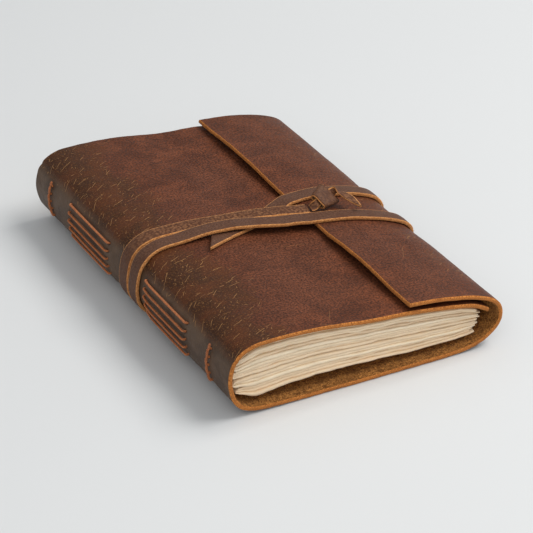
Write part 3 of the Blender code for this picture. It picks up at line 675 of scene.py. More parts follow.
def hide_grids():
    """Outer and inner faces of the whole hide, before it is cut at the seams."""
    seams = sorted(STRIP_MIDDLES + WRAP_MIDDLES)
    s_rows = spaced(0.0, HIDE_LENGTH, row_step)
    for t in seams:
        s_rows[np.argmin(np.abs(s_rows - arc(t)))] = arc(t)
    y_cols = spaced(-END_Y, END_Y, column_step)
    t_rows = np.interp(s_rows, ALL_S, ALL_T)
    place, _, normal = path_at(HIDE_PATH, t_rows)
    s, y = s_rows[:, None], y_cols[None, :]
    from_end = END_Y - np.abs(y)
    from_free = np.minimum(s, HIDE_LENGTH - s)
    from_rim = np.minimum(from_end, from_free)
    clear = smooth(15, 30, np.abs(y))
    ripple = (0.22 * wander(s, y, 34.0, 3) + 0.10 * wander(s, y, 9.0, 4)) * clear
    ripple = ripple - 0.22 * clear
    limp = 0.35 * np.exp(-from_end / 9.0) * wander(s, np.sign(y) * 50, 21.0, 5)
    dimple = np.zeros((len(s_rows), len(y_cols)))
    for hole_s, hole_y in HOLES:
        away = np.hypot(s - hole_s, y - hole_y)
        dimple += np.exp(-(away / 0.75) ** 2)
    crease = 0.35 * np.exp(-((s - arc(STRIP_EDGES[0]) + 1.2) / 1.1) ** 2)
    crease = crease * smooth(12, 20, np.abs(y))
    depth = press(t_rows, y_cols) - ripple + limp * 0.4 + crease
    outer_depth = depth + rounding(from_rim, OUTER_ROUND) + 0.75 * np.clip(dimple, 0, 1)
    inner_depth = depth + HIDE - rounding(from_rim, INNER_ROUND)
    cut = (0.28 * wander(s, np.sign(y) * 9, 17.0, 6) + 0.10 * wander(s, np.sign(y) * 9, 2.3, 7)
           + 0.05 * wander(s, np.sign(y) * 9, 0.9, 8))
    cut = np.clip(0.30 + cut, 0, 1) * np.exp(-from_end / 8.0)
    y_shown = y - np.sign(y) * cut
    along_cut = np.clip(0.25 + 0.3 * wander(y, s * 0, 14.0, 9) + 0.1 * wander(y, s * 0, 2.1, 10),
                        0, 1)
    lift = flap_lift(t_rows, y_cols)
    tangent = np.stack([-normal[:, 1], normal[:, 0]], axis=1)
    slide = (np.exp(-s / 6.0) - np.exp(-(HIDE_LENGTH - s) / 6.0)) * along_cut
    grids = []
    for d in (outer_depth, inner_depth):
        x = place[:, 0][:, None] - WIDTH / 2 - normal[:, 0][:, None] * d
        z = place[:, 1][:, None] - normal[:, 1][:, None] * d + lift
        x = x + tangent[:, 0][:, None] * slide
        z = z + tangent[:, 1][:, None] * slide
        grids.append(np.stack([x, np.broadcast_to(y_shown, x.shape), z], axis=2))
    return s_rows, y_cols, grids[0], grids[1], np.clip(dimple, 0, 1)


def grid_normals(grid):
    """Unit normals of a grid of points; which way they point is settled by the caller."""
    down, across = np.gradient(grid, axis=0), np.gradient(grid, axis=1)
    normal = np.cross(down, across)
    return normal / np.linalg.norm(normal, axis=2)[:, :, None]


def zones_of(s, y, dimple):
    """Masks painted on the grain: spine, worn shoulder, and painted shade at the sewing holes."""
    edge_a, edge_b = arc(STRIP_EDGES[0]) - 1.0, arc(16.2)
    wavy = 0.8 * wander(y, s * 0, 9.0, 12)
    spine = (smooth(edge_a - 2.6 + wavy, edge_a + 2.4 + wavy, s)
             * (1 - smooth(edge_b - 4, edge_b + 6, s)))
    top_fade = smooth(edge_a - 40, edge_a - 8, s + 7 * wander(s, y, 16.0, 13))
    shoulder = top_fade * (1 - smooth(edge_a - 1, edge_a + 3, s))
    fore = 0.30 * smooth(arc(31) - 4, arc(32), s) * (1 - smooth(arc(33), arc(34) + 4, s))
    shoulder = np.maximum(shoulder, fore)
    # Painted shade in the dimples at the sewing holes.
    dark = np.clip(dimple * 1.2, 0, 0.92)
    return np.stack([spine, shoulder, dark], axis=2)


S_ROWS, Y_COLS, OUTER_GRID, INNER_GRID, DIMPLE = hide_grids()
OUTER_NORMALS, INNER_NORMALS = grid_normals(OUTER_GRID), grid_normals(INNER_GRID)
ON_COVER = int(np.argmin(np.abs(S_ROWS - arc(6))))
if OUTER_NORMALS[ON_COVER, len(Y_COLS) // 2, 2] < 0:
    OUTER_NORMALS = -OUTER_NORMALS
if INNER_NORMALS[ON_COVER, len(Y_COLS) // 2, 2] > 0:
    INNER_NORMALS = -INNER_NORMALS
S_GRID = np.broadcast_to(S_ROWS[:, None], DIMPLE.shape)
Y_GRID = np.broadcast_to(Y_COLS[None, :], DIMPLE.shape)
ZONES = zones_of(S_GRID, Y_GRID, DIMPLE)


def hide_segment(name, t_start, t_end):
    """Closed piece of the hide between two seams, with rounded raw edges and loose fibres."""
    first = int(np.argmin(np.abs(S_ROWS - arc(t_start))))
    last = int(np.argmin(np.abs(S_ROWS - arc(t_end))))
    rows, cols = last - first + 1, len(Y_COLS)
    outer, inner = OUTER_GRID[first:last + 1], INNER_GRID[first:last + 1]
    s, y = S_GRID[first:last + 1], Y_GRID[first:last + 1]
    zones = ZONES[first:last + 1]
    b = Build()
    o = b.add(outer, np.stack([s, y, s * 0], axis=2), zones)
    n = b.add(inner, np.stack([s, y, s * 0 + 40], axis=2), zones * 0)

    def wall(col):
        made = []
        for share in EDGE_LAYERS:
            edge = outer[:, col] * (1 - share) + inner[:, col] * share
            rough = 0.05 * wander(s[:, col], s[:, col] * 0 + share * 40, 0.8, 15)
            edge = edge + np.stack([rough * 0, np.sign(Y_COLS[col]) * (rough - 0.03 + 0.12
                                    * math.sin(math.pi * share)), rough * 0], axis=1)
            flat = np.stack([s[:, col], y[:, col], s[:, col] * 0 + share * HIDE], axis=1)
            made.append(b.add(edge, flat))
        return made

    walls = {0: wall(0), cols - 1: wall(cols - 1)}

    def cap(row):
        """Layers of vertex numbers across the thickness at the first or last row."""
        layers = []
        for k, share in enumerate(EDGE_LAYERS):
            points = outer[row, 1:-1] * (1 - share) + inner[row, 1:-1] * share
            flat = np.stack([s[row, 1:-1], y[row, 1:-1], s[row, 1:-1] * 0 + share * HIDE], axis=1)
            start = b.add(points, flat)
            layers.append([walls[0][k] + row] + [start + j for j in range(cols - 2)]
                          + [walls[cols - 1][k] + row])
        top = [o + row * cols + j for j in range(cols)]
        low = [n + row * cols + j for j in range(cols)]
        return [top] + layers + [low]

    from_rim = np.minimum(END_Y - np.abs(Y_COLS)[None, :],
                          np.minimum(S_ROWS, HIDE_LENGTH - S_ROWS)[first:last + 1, None])
    for i in range(rows - 1):
        for j in range(cols - 1):
            q = i * cols + j
            worn = min(from_rim[i, j], from_rim[i + 1, j + 1]) < WORN_RIM
            b.face((o + q, o + q + 1, o + q + cols + 1, o + q + cols), EDGE if worn else OUTER)
            b.face((n + q, n + q + cols, n + q + cols + 1, n + q + 1), EDGE if worn else INNER)
    for col, turn in ((0, 1), (cols - 1, -1)):
        layers = [[o + i * cols + col for i in range(rows)]]
        layers += [[w + i for i in range(rows)] for w in walls[col]]
        layers += [[n + i * cols + col for i in range(rows)]]
        for above, below in zip(layers, layers[1:]):
            for i in range(rows - 1):
                corners = (above[i], above[i + 1], below[i + 1], below[i])
                b.face(corners[::turn], EDGE)
    for row, turn, free in ((0, -1, first == 0), (rows - 1, 1, last == len(S_ROWS) - 1)):
        layers = cap(row)
        for above, below in zip(layers, layers[1:]):
            for j in range(cols - 1):
                corners = (above[j], above[j + 1], below[j + 1], below[j])
                b.face(corners[::turn], EDGE, free)
    fringe(b, outer, inner, first == 0, last == len(S_ROWS) - 1, (S_ROWS[last] - S_ROWS[first]))
    normals = {}
    for row, seam in ((0, first > 0), (rows - 1, last < len(S_ROWS) - 1)):
        if seam:
            for j in range(1, cols - 1):
                normals[o + row * cols + j] = OUTER_NORMALS[first + row, j]
                normals[n + row * cols + j] = INNER_NORMALS[first + row, j]
    return b.piece(name, (GRAIN, RAW, SUEDE), normals)


def fringe(b, outer, inner, free_start, free_end, length):
    """Loose fibres along the cut edges."""
    rows, cols = outer.shape[:2]
    for col, sign in ((0, -1), (cols - 1, 1)):
        for _ in range(int(length * FIBRES_PER_MM)):
            i = rng.uniform(0, rows - 1.001)
            k, f = int(i), i % 1
            share = rng.beta(2.2, 1.6)
            top = outer[k, col] * (1 - f) + outer[k + 1, col] * f
            low = inner[k, col] * (1 - f) + inner[k + 1, col] * f
            direction = np.array([rng.normal(0, 0.7), sign, rng.normal(0, 0.7)])
            b.fibre(top * (1 - share) + low * share - direction * 0.05, direction,
                    rng.uniform(0.15, 0.5), rng.uniform(0.03, 0.055), EDGE)
    for row, free, inward in ((0, free_start, 1), (rows - 1, free_end, -2)):
        if not free:
            continue
        along = outer[row, cols // 2] - outer[row + inward, cols // 2]
        for _ in range(FIBRES_ON_FREE_EDGE):
            j = rng.uniform(0, cols - 1.001)
            k, f = int(j), j % 1
            share = rng.beta(2.0, 1.4)
            top = outer[row, k] * (1 - f) + outer[row, k + 1] * f
            low = inner[row, k] * (1 - f) + inner[row, k + 1] * f
            direction = along / np.linalg.norm(along) + rng.normal(0, 0.5, 3)
            b.fibre(top * (1 - share) + low * share - direction * 0.05, direction,
                    rng.uniform(0.15, 0.55), rng.uniform(0.03, 0.055), EDGE)


def across_fold(made, first_body, second_body, t, reach):
    """Bakes the piece's placement into its mesh; nothing bends about the fold at path index t."""
    (place,), (along,), _ = path_at(HIDE_PATH, [t])
    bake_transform(made)


def build_hide():
    """The hide in nine pieces, cut between the folds, each taking the place of its CAD parts."""
    cuts = [0.0] + STRIP_MIDDLES + WRAP_MIDDLES + [len(HIDE_PATH) - 1]
    names = ["hide_front", "hide_spine_1", "hide_spine_2", "hide_spine_3", "hide_spine_4",
             "hide_back", "hide_wrap_1", "hide_wrap_2", "hide_flap"]
    replaced = [["front_cover"], ["spine_strip_1"], ["spine_strip_2"], ["spine_strip_3"],
                ["spine_strip_4"], ["spine_strip_5", "back_cover"], ["wrap_lower"],
                ["wrap_middle"], ["wrap_upper", "flap"]]
    folds = STRIP_EDGES[:SECTIONS] + WRAP_EDGES
    pairs = list(zip(SPINE_BODIES, SPINE_BODIES[1:])) + list(zip(WRAP_BODIES, WRAP_BODIES[1:]))
    for k, name in enumerate(names):
        made = hide_segment(name, cuts[k], cuts[k + 1])
        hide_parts(*replaced[k])
        reach = FOLD_REACH_SPINE if k < SECTIONS else FOLD_REACH_WRAP
        across_fold(made, *pairs[k], folds[k], reach)


build_hide()


# ---------------------------------------------------------------- sewing thread
def resample(path, step):
    """Evenly spaced points along a smooth curve, and their distances."""
    path = np.asarray(path, float)
    t = np.linspace(0, len(path) - 1, 40 * len(path))
    dense = spline(path, t)
    run = np.concatenate([[0], np.cumsum(np.linalg.norm(np.diff(dense, axis=0), axis=1))])
    places = np.arange(0, run[-1], step)
    return np.stack([np.interp(places, run, dense[:, k]) for k in range(3)], axis=1), places


def carried_frames(path):
    """Direction and two sides at each point, turned as little as possible along the path."""
    along = np.gradient(path, axis=0)
    along /= np.linalg.norm(along, axis=1)[:, None]
    side = np.cross(along[0], (0.31, 0.17, 0.94))
    sides = []
    for direction in along:
        side = side - direction * (side @ direction)
        side /= np.linalg.norm(side)
        sides.append(side.copy())
    sides = np.array(sides)
    return along, sides, np.cross(along, sides)


def twisted_cord(name, path, radius, pitch):
    """Cord of plies laid round each other."""
    centres, run = resample(path, 0.3)
    _, sides, others = carried_frames(centres)
    b = Build()
    for ply in range(PLIES):
        rings, flats = [], []
        for centre, s, side, other in zip(centres, run, sides, others):
            turn = 2 * math.pi * (s / pitch + ply / PLIES)
            middle = centre + (side * math.cos(turn) + other * math.sin(turn)) * radius * PLY_SHARE
            ring, flat = [], []
            for k in range(PLY_SIDES):
                angle = turn + 2 * math.pi * k / PLY_SIDES
                ring.append(middle + (side * math.cos(angle) + other * math.sin(angle))
                            * radius * PLY_SHARE)
                flat.append((s, angle * radius + ply * 9, path[0][1] + path[0][2]))
            rings.append(ring)
            flats.append(flat)
        b.rings(rings, flats, [0] * PLY_SIDES)
    for _ in range(int(run[-1] * 0.8)):
        i = rng.integers(1, len(centres) - 1)
        out = sides[i] * rng.normal() + others[i] * rng.normal()
        out /= np.linalg.norm(out)
        b.fibre(centres[i] + out * radius * 0.8, out + rng.normal(0, 0.8, 3),
                rng.uniform(0.2, 0.6), 0.022, 0)
    return b.piece(name, (THREAD,))


def thread_path(t, ya, yb):
    """Out of one hole, along the spine and back into the next."""
    sign = 1 if yb > ya else -1
    reach = THREAD_R + 0.13
    shape = [(0, HIDE + 0.35), (0, HIDE * 0.5), (0, 0.3), (0.18, -0.25), (0.62, -reach * 0.85),
             (1.4, -reach)]
    points = [(ya + sign * a, d) for a, d in shape]
    count = 9
    for i in range(1, count):
        f = i / count
        bow = 0.06 * math.sin(math.pi * f)
        points.append((ya + sign * 1.4 + (yb - ya - sign * 2.8) * f, -reach - bow))
    points += [(yb - sign * a, d) for a, d in reversed(shape)]
    return [hide_point(t, y, d) for y, d in points]


def link_path(t, y, top):
    """Out of an end hole and up the spine to the next, as one link of the end stitch."""
    reach = THREAD_R + 0.15
    shape = [(0, HIDE + 0.35), (0, HIDE * 0.5), (0, 0.3), (0.18, -0.3), (0.5, -reach * 0.85),
             (1.0, -reach), (top * 0.6, -reach - 0.1), (top - 0.3, -reach), (top, -reach + 0.35)]
    return [hide_point(step_along(t, 0.55 - a), y, d) for a, d in shape]


def build_stitches():
    """Long stitches between the strap and the ends, and links that span neighbouring strips."""
    for k in range(SECTIONS):
        body = SPINE_BODIES[k + 1]
        for group, (ya, yb) in STITCH_GROUPS.items():
            name = "long_stitch_%s_%d" % (group, k + 1)
            made = twisted_cord("cord_" + name, thread_path(SEWING_T[k], ya, yb), THREAD_R, 2.3)
            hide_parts(name)
            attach(made, body)
        for group, y in END_STITCH_Y.items():
            name = "end_stitch_%s_%d" % (group, k + 1)
            top = 1.9 if k == 0 else SEWING_Z[k - 1] - SEWING_Z[k] - 0.1
            made = twisted_cord("cord_" + name, link_path(SEWING_T[k], y, top), THREAD_R * 1.1,
                                2.0)
            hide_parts(name)
            if k == 0:
                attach(made, body)
            else:
                across_fold(made, SPINE_BODIES[k], body, STRIP_EDGES[k], FOLD_REACH_SPINE)


build_stitches()


# ---------------------------------------------------------------- pages
LEAVES = 3


def signature_edges(k, x):
    """Heights of the lower and upper faces of signature k (0 at the top) along x."""
    top = np.interp(x, *zip(*BLOCK_TOP))
    low = np.interp(x, *zip(*BLOCK_BOTTOM))
    share = (top - low) / SECTIONS
    upper, lower = top - share * k - 0.15, top - share * (k + 1) + 0.15
    spread = smooth(FOLD_X[k] - 0.5, 14.5, x)
    upper = (FOLD_Z[k] + FOLD_HALF[k]) * (1 - spread) + upper * spread
    lower = (FOLD_Z[k] - FOLD_HALF[k]) * (1 - spread) + lower * spread
    thick = 1 - 0.72 * (1 - smooth(FOLD_X[k], FOLD_X[k] + 1.8, x))
    middle = (upper + lower) / 2
    return middle - (middle - lower) * thick, middle + (upper - middle) * thick


def leaf_stations(low, high, end_step, step, ends):
    """Mesh places on a leaf, closer together near its ends."""
    def step_at(place):
        from_end = min([abs(place - e) for e in ends])
        return min(step, end_step + from_end * 0.35)
    return spaced(low, high, step_at)


def signature(k):
    """Deckle-edged leaves, each a little longer or shorter than the next."""
    b = Build()
    across = leaf_stations(0.0, 1.0, 0.006, 0.022, (0.0, 1.0))
    down = leaf_stations(-1.0, 1.0, 0.004, 0.05, (-1.0, 1.0))
    half = PAGE_HALF - 0.25
    for leaf in range(LEAVES):
        seed = 20 + k * LEAVES + leaf
        reach = PAGE_REACH[k] - 0.7 - rng.uniform(0.0, 2.8)
        ends = rng.uniform(0.0, 1.3, 2)
        tone = rng.uniform(0, 1)
        u, v = across[:, None], down[None, :]
        deckle = (0.45 * wander(v * half, u * 0, 5.0, seed)
                  + 0.25 * wander(v * half, u * 0, 1.7, seed))
        x = FOLD_X[k] + (reach - FOLD_X[k] + deckle * smooth(0.9, 1, u)) * u
        torn = (0.30 * wander(x, v * 0, 6.0, seed + 40) + 0.16 * wander(x, v * 0, 1.6, seed + 80))
        end = np.where(v < 0, ends[0], ends[1])
        y = v * half - np.sign(v) * (end + torn + 0.2) * smooth(0.93, 1, np.abs(v))
        low, high = signature_edges(k, x)
        faces = []
        for side in (0, 1):
            line = leaf + side
            shift = 0.16 * wander(x, y, 19.0, 200 + k * 9 + line) * (0 < line < LEAVES)
            f = (line + shift) / LEAVES
            open_up = 0.07 + 0.05 * wander(x, y, 11.0, 300 + seed)
            z = high - (high - low) * f + (-open_up if side == 0 else open_up) * 0.5
            faces.append(np.stack([x - WIDTH / 2, y, z], axis=2))
        top, bottom = faces
        flat = np.stack([x, y, x * 0 + seed * 13], axis=2)
        zone = np.stack([x * 0 + tone, smooth(0.97, 1, np.abs(v)) + x * 0, x * 0], axis=2)
        add_slab(b, top, bottom, flat, zone)
    made = b.piece("leaves_%d" % (k + 1), (PAPER,))
    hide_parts("signature_%d" % (k + 1))
    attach(made, SPINE_BODIES[k + 1])


def add_slab(b, top, bottom, flat, zone):
    """Thin closed sheet between two grids, its cut edges rounded out by half a step."""
    rows, cols = top.shape[:2]
    o = b.add(top, flat, zone)
    n = b.add(bottom, flat + np.array([0, 0, 0.4]), zone)
    rim = [(0, j) for j in range(cols)] + [(i, cols - 1) for i in range(1, rows)]
    rim += [(rows - 1, j) for j in range(cols - 2, -1, -1)]
    rim += [(i, 0) for i in range(rows - 2, 0, -1)]
    centre = (top[rows // 2, cols // 2] + bottom[rows // 2, cols // 2]) / 2
    bulge, bulge_flat, bulge_zone = [], [], []
    for i, j in rim:
        middle = (top[i, j] + bottom[i, j]) / 2
        out = np.array([np.sign(middle[0] - centre[0]) * (i in (0, rows - 1)),
                        np.sign(middle[1] - centre[1]) * (j in (0, cols - 1)), 0.0])
        bulge.append(middle + out * 0.1)
        bulge_flat.append(flat[i, j] + (0, 0, 0.2))
        bulge_zone.append(zone[i, j])
    m = b.add(bulge, bulge_flat, bulge_zone)
    for i in range(rows - 1):
        for j in range(cols - 1):
            q = i * cols + j
            b.face((o + q, o + q + cols, o + q + cols + 1, o + q + 1))
            b.face((n + q, n + q + 1, n + q + cols + 1, n + q + cols))
    for r in range(len(rim)):
        (i, j), (ii, jj) = rim[r], rim[(r + 1) % len(rim)]
        a, c = i * cols + j, ii * cols + jj
        ma, mc = m + r, m + (r + 1) % len(rim)
        b.face((o + a, o + c, mc, ma))
        b.face((ma, mc, n + c, n + a))


for number in range(SECTIONS):
    signature(number)


# ---------------------------------------------------------------- strap
def strap_offset(t_hide):
    """Height of the strap's inner face over the unpressed hide."""
    depth = 0.0
    if 9 <= t_hide <= 18:
        depth += table(SPINE_PRESS, t_hide)
    if 14 <= t_hide <= 29:
        depth += table(BASE_PRESS, t_hide)
    if 26 <= t_hide <= 37:
        depth += table(FORE_PRESS, t_hide)
    elif t_hide > 37:
        depth += FORE_PRESS[37] * (1 - smooth(37, 39, t_hide))
    return STRAP_GAP - depth


def turn_index(r):
    """Ride index folded back to HIDE_PATH numbering, and the number of the turn."""
    turn = math.floor(r / LOOP)
    return r - turn * LOOP + RIDE_FIRST, turn


def rise(r, x):
    """Extra height where the strap passes over another run of itself."""
    under, turn = turn_index(r)
    if turn == 0 and 19 < under < 24.5:
        return -CROSS_RISE * float(soft_table(CROSSING, under))
    if 8 < under < 35:
        return 0.0
    if r < 10:
        return FIRST_RISE * float(smooth(45, 55, x) * (1 - smooth(62, 78, x)))
    if r < 50:
        return SECOND_RISE * float(smooth(17, 38, x) * (1 - smooth(46, 72, x)))
    return 0.0


def bed_height(x):
    """Height that the free end's inner face lies at, at distance x from the spine."""
    t = np.linspace(0, len(TAIL_BED) - 1, 1301)
    places = spline(TAIL_BED, t)
    height = float(np.interp(-x, -places[:, 0], places[:, 1]))
    return height + STRAP_GAP - FORE_PRESS[37] * float(smooth(78, 83, x))


def band_section(half, thick, steps=9, corner=0.55):
    """Ring of (across, up, kind) for a strap's section: crowned top, rounded raw edges."""
    ring = []
    for k in range(steps):
        f = -1 + 2 * k / (steps - 1)
        ring.append((f * (half - corner), thick - 0.10 * f * f, 0))
    for side in (1, -1):
        corners = ((0.30, 0.12), (0.0, 0.55), (0.05, thick * 0.5), (0.0, thick - 0.5),
                   (0.18, thick - 0.10))
        part = [(side * (half - inset), thick - down, 1) for inset, down in corners]
        ring.extend(part if side == 1 else part[::-1])
        if side == 1:
            for k in range(5):
                f = 1 - 2 * k / 4
                ring.append((f * (half - 0.6), 0.0, 2))
    return ring


def band_piece(b, centres, sides, ups, run, half, thick, zones, seed, skew=None, fuzz=3.0):
    """A flat leather thong through the given frames."""
    rings, flats, marks = [], [], []
    for i, (centre, side, up) in enumerate(zip(centres, sides, ups)):
        h = half[i] if np.ndim(half) else half
        shrink = min(1.0, h / 1.2)
        ring, flat = [], []
        section = band_section(h, thick, corner=min(0.55, h * 0.4))
        for across, above, _ in section:
            sign = np.sign(across)
            wobble = (0.16 * wander(run[i], sign * 5, 6.0, seed) + 0.06
                      * wander(run[i], sign * 5, 1.1, seed + 1)) * shrink
            place = across * (1 + wobble / max(h, 0.5))
            lean = 0 if skew is None else skew[i] * across / h
            bumpy = 0.05 * wander(run[i], across * 2.0, 2.4, seed + 2) * (above > thick * 0.6)
            ring.append(centre + side[0] * place + side[1] * lean + up * (above + bumpy))
            flat.append((run[i] + lean, across + seed * 40, above))
        rings.append(ring)
        flats.append(flat)
        marks.append([zones[i]] * len(section))
    kinds = [kind for _, _, kind in section]
    b.rings(rings, flats, kinds, marks, cap_kind=1)
    length = run[-1] - run[0]
    for _ in range(int(length * fuzz * 2)):
        i = rng.integers(0, len(centres) - 1)
        sign = rng.choice((-1, 1))
        h = half[i] if np.ndim(half) else half
        lean = 0 if skew is None else skew[i] * sign
        root = (centres[i] + sides[i][0] * sign * (h - 0.02) + sides[i][1] * lean
                + ups[i] * rng.uniform(0.15, 0.9) * thick)
        way = sides[i][0] * sign + ups[i] * rng.normal(0, 0.7) + sides[i][1] * rng.normal(0, 0.8)
        b.fibre(root, way, rng.uniform(0.15, 0.65), rng.uniform(0.03, 0.06), 1)


def strap_frames():
    """Centres, sides and normals along the whole strap, in millimetres."""
    r, stations = STRAP_START, []
    while r < STRAP_TURNED:
        stations.append(r)
        unit = float(np.linalg.norm(spline(RIDE_PATH, r + 0.02, True)
                                    - spline(RIDE_PATH, r, True))) / 0.02
        r += STRAP_STEP / unit
    places, _, normals = path_at(RIDE_PATH, stations, True)
    centres = []
    for r, place, normal in zip(stations, places, normals):
        offset = strap_offset(turn_index(r)[0]) + rise(r, place[0])
        centres.append((place[0] + normal[0] * offset - WIDTH / 2, strap_line_at(r),
                        place[1] + normal[1] * offset))
    ups = [np.array([nx, 0, nz]) for nx, nz in normals]
    # The free end runs diagonally over the cover, under both runs, to a slanted point.
    turn_x, turn_y = TAIL_TURN
    x = turn_x - 1.5
    while x >= TAIL_END - 0.01:
        gone = turn_x - x
        if gone < TAIL_BEND:
            y = turn_y - TAIL_SLOPE * gone * gone / (2 * TAIL_BEND)
        else:
            y = turn_y - TAIL_SLOPE * (gone - TAIL_BEND / 2)
        centres.append((x - WIDTH / 2, y, bed_height(x)))
        ups.append(np.array([0.0, 0.0, 1.0]))
        x -= 1.0
    centres = np.array(centres)
    along = np.gradient(centres, axis=0)
    along /= np.linalg.norm(along, axis=1)[:, None]
    frames, fixed = [], []
    for direction, up in zip(along, ups):
        side = np.cross(up, direction)
        side /= np.linalg.norm(side)
        frames.append((side, direction))
        fixed.append(np.cross(direction, side))
    run = np.concatenate([[0], np.cumsum(np.linalg.norm(np.diff(centres, axis=0), axis=1))])
    from_tip = (centres[:, 0] + WIDTH / 2 - TAIL_END) + 1e3 * (run < run[-1] - TAIL_LENGTH)
    skew = TIP_SKEW * (1 - smooth(0, TIP_LENGTH, from_tip))
    return centres, frames, fixed, run, skew


def build_strap():
    """The long thong, lighter on its first run."""
    centres, sides, ups, run, skew = strap_frames()
    light = 1 - smooth(62, 96, run)
    zones = np.stack([light, light * 0, light * 0], axis=1)
    b = Build()
    band_piece(b, centres, sides, ups, run, STRAP_W / 2, STRAP_T, zones, STRAP_SEED, skew)
    made = b.piece("strap_thong", (STRAP_TOP, STRAP_EDGE, STRAP_UNDER))
    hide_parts("strap")
    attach(made, "strap_body")


# The flattened loop leans back from the flap: corners of its lower and upper edges.
LOOP_LOW = ((89.8, -8.0, 32.6), (98.9, -5.0, 32.1))
LOOP_HIGH = ((87.6, -5.2, 35.6), (93.9, -1.2, 38.0))
LOOP_OUT = 1.75
LOOP_IN = 0.85
LOOP_FIBRES = 160
# Middle line of the strip through the loop: (place, width, direction across).
STRIP_T = 0.9
STRIP = [
    ((85.3, -6.6, 32.0), 4.2, (0.05, -1, 0)), ((86.9, -6.8, 32.9), 4.2, (0.2, -0.8, -0.55)),
    ((88.6, -6.65, 34.1), 3.6, (0.52, -0.52, -0.68)),
    ((93.0, -4.8, 34.55), 3.6, (0.58, -0.42, -0.68)),
    ((96.6, -3.15, 35.0), 3.6, (0.64, -0.42, -0.64)), ((99.2, -3.1, 35.2), 4.4, (0.8, -0.3, -0.5)),
    ((101.6, -5.6, 34.6), 5.0, (0.95, 0.1, -0.25)), ((103.0, -9.2, 34.0), 4.6, (1, 0.25, -0.05)),
    ((104.0, -13.0, 33.2), 3.0, (1, 0.2, 0)), ((104.7, -16.4, 32.8), 0.8, (1, 0.2, 0)),
]


def build_knot_strip():
    """Narrow end of the strap that passes through the loop and ends in a point."""
    knots = np.array([(*place, width, *across) for place, width, across in STRIP])
    dense = spline(knots, np.linspace(0, len(knots) - 1, 70))
    centres = dense[:, :3] - (WIDTH / 2, 0, 0)
    along = np.gradient(centres, axis=0)
    along /= np.linalg.norm(along, axis=1)[:, None]
    sides, ups = [], []
    for direction, across in zip(along, dense[:, 4:]):
        side = across - direction * (across @ direction)
        side /= np.linalg.norm(side)
        sides.append((side, direction))
        ups.append(np.cross(side, direction))
    ups = np.array(ups)
    run = np.concatenate([[0], np.cumsum(np.linalg.norm(np.diff(centres, axis=0), axis=1))])
    zones = np.stack([run * 0 + 0.8, run * 0, run * 0], axis=1)
    b = Build()
    band_piece(b, centres - ups * STRIP_T / 2, sides, ups, run, dense[:, 3] / 2, STRIP_T, zones,
               STRIP_SEED)
    made = b.piece("knot_point", (STRAP_TOP, STRAP_EDGE, STRAP_TOP))
    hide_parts("knot_strip")
    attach(made, "strap_body")


def build_knot_loop():
    """Band folded flat round the strip, leaning back over the flap."""
    low, high = (np.array(row, float) for row in (LOOP_LOW, LOOP_HIGH))
    middle_low, middle_high = low.mean(axis=0), high.mean(axis=0)
    rise_way = (middle_high - middle_low) / np.linalg.norm(middle_high - middle_low)
    width_way = (low[1] - low[0]) / np.linalg.norm(low[1] - low[0])
    out = np.cross(rise_way, width_way)
    out /= np.linalg.norm(out)
    half = np.linalg.norm(low[1] - low[0]) / 2
    wall = LOOP_OUT - LOOP_IN
    outline = []
    for top, first in ((1, 0), (0, 180)):
        for degrees in range(first, first + 181, 12):
            angle = math.radians(degrees)
            outline.append((top, math.cos(angle), math.sin(angle)))
    section = band_section(half, wall, corner=0.3)
    rings, flats, marks = [], [], []
    run = 0.0
    closed = outline + outline[:1]
    for entry, after in zip(closed, closed[1:]):
        steps = 1 if entry[0] == after[0] else 6
        for m in range(steps):
            f = m / steps
            top = entry[0] * (1 - f) + after[0] * f
            c, sn = (entry[k] * (1 - f) + after[k] * f for k in (1, 2))
            norm = math.hypot(c, sn)
            c, sn = c / norm, sn / norm
            line = high * top + low * (1 - top)
            centre, reach = line.mean(axis=0), (line[1] - line[0]) / 2
            ring, flat = [], []
            for across, above, _ in section:
                radius = LOOP_IN + above
                edge = 0.12 * wander(run, np.sign(across) * 5, 4.0, 70)
                ring.append(centre + reach * ((across + edge) / half) - (WIDTH / 2, 0, 0)
                            + out * c * radius + rise_way * sn * radius)
                flat.append((run, across + 90, above))
            rings.append(ring)
            flats.append(flat)
            marks.append([(0.35, 0, 0)] * len(section))
            run += 0.5 if steps == 1 else 0.9
    b = Build()
    count = len(section)
    start = b.add(rings, flats, marks)
    for r in range(len(rings)):
        after = (r + 1) % len(rings)
        for k in range(count):
            m = (k + 1) % count
            b.face((start + r * count + k, start + r * count + m, start + after * count + m,
                    start + after * count + k), section[k][2])
    edge_points = [k for k in range(count) if abs(section[k][0]) > half - 0.1]
    for _ in range(LOOP_FIBRES):
        r, k = rng.integers(0, len(rings)), int(rng.choice(edge_points))
        way = width_way * np.sign(section[k][0]) + rng.normal(0, 0.5, 3)
        b.fibre(np.array(rings[r][k]), way, rng.uniform(0.15, 0.6), 0.045, 1)
    made = b.piece("knot_band", (STRAP_TOP, STRAP_EDGE, STRAP_UNDER))
    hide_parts("knot_loop")
    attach(made, "strap_body")


build_strap()
build_knot_strip()
build_knot_loop()


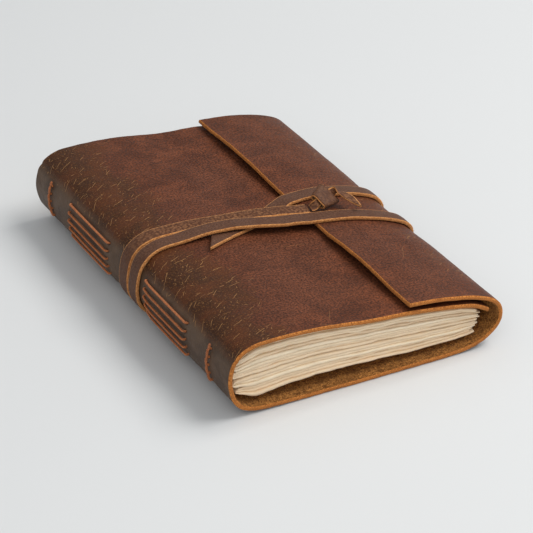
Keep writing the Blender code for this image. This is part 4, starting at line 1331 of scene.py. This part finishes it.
# ---------------------------------------------------------------- floor, light and camera
def floor():
    """Pale floor that curves up into a backdrop."""
    g = Graph("studio_floor")
    place = g.node("ShaderNodeTexCoord").outputs["Object"]
    tone = g.noise(place, 0.6, 2.0, 0.5)
    colour = g.mix(g.range(tone, 0.3, 0.7), (0.670, 0.682, 0.688), (0.685, 0.697, 0.703))
    material = g.finish(colour, 0.75, None, 0.2)
    mesh = bpy.data.meshes.new("floor")
    size, rise_at, height, radius = 2.2, 1.9, 1.6, 0.5
    profile = [(-size, 0.0)] + [(rise_at + radius * math.sin(a), radius - radius * math.cos(a))
                                for a in np.linspace(0, math.pi / 2, 12)]
    profile.append((rise_at + radius, height))
    points = [(x, y, z) for y, z in profile for x in (-size * 1.6, size * 1.6)]
    faces = [(2 * i, 2 * i + 1, 2 * i + 3, 2 * i + 2) for i in range(len(profile) - 1)]
    mesh.from_pydata(points, [], faces)
    mesh.polygons.foreach_set("use_smooth", [True] * len(faces))
    mesh.materials.append(material)
    made = bpy.data.objects.new("floor", mesh)
    bpy.context.scene.collection.objects.link(made)


def soft_light(name, place, aim, size, power, colour):
    """Rectangular lamp aimed at a place."""
    data = bpy.data.lights.new(name, "AREA")
    data.shape = "RECTANGLE"
    data.size, data.size_y = size
    data.energy = power
    data.color = colour
    made = bpy.data.objects.new(name, data)
    made.location = place
    made.rotation_euler = (Vector(aim) - Vector(place)).to_track_quat("-Z", "Y").to_euler()
    bpy.context.scene.collection.objects.link(made)


def lights():
    """Pale surroundings, a key light from the fore-edge side and a weak fill."""
    world = bpy.data.worlds.new("studio")
    bpy.context.scene.world = world
    world.use_nodes = True
    world.node_tree.nodes["Background"].inputs["Color"].default_value = (0.96, 0.98, 1.0, 1.0)
    world.node_tree.nodes["Background"].inputs["Strength"].default_value = 0.50
    soft_light("key", (0.80, -0.22, 1.15), (0, 0, 0), (1.0, 0.8), 15.5, (1.0, 0.985, 0.96))
    soft_light("fill", (-0.6, -0.9, 0.8), (0, 0, 0), (0.9, 0.9), 3.4, (1.0, 0.985, 0.96))


def camera():
    """Long lens, from in front of the spine's tail end and above."""
    data = bpy.data.cameras.new("camera")
    data.sensor_width = 36.0
    data.lens = 165.0
    data.clip_start, data.clip_end = 0.05, 20.0
    made = bpy.data.objects.new("camera", data)
    made.location = (-0.4293, -0.8141, 0.5325)
    made.rotation_euler = (math.radians(60.21), 0.0, math.radians(-27.99))
    bpy.context.scene.collection.objects.link(made)
    bpy.context.scene.camera = made


floor()
lights()
camera()
bpy.context.scene.view_settings.view_transform = "Standard"
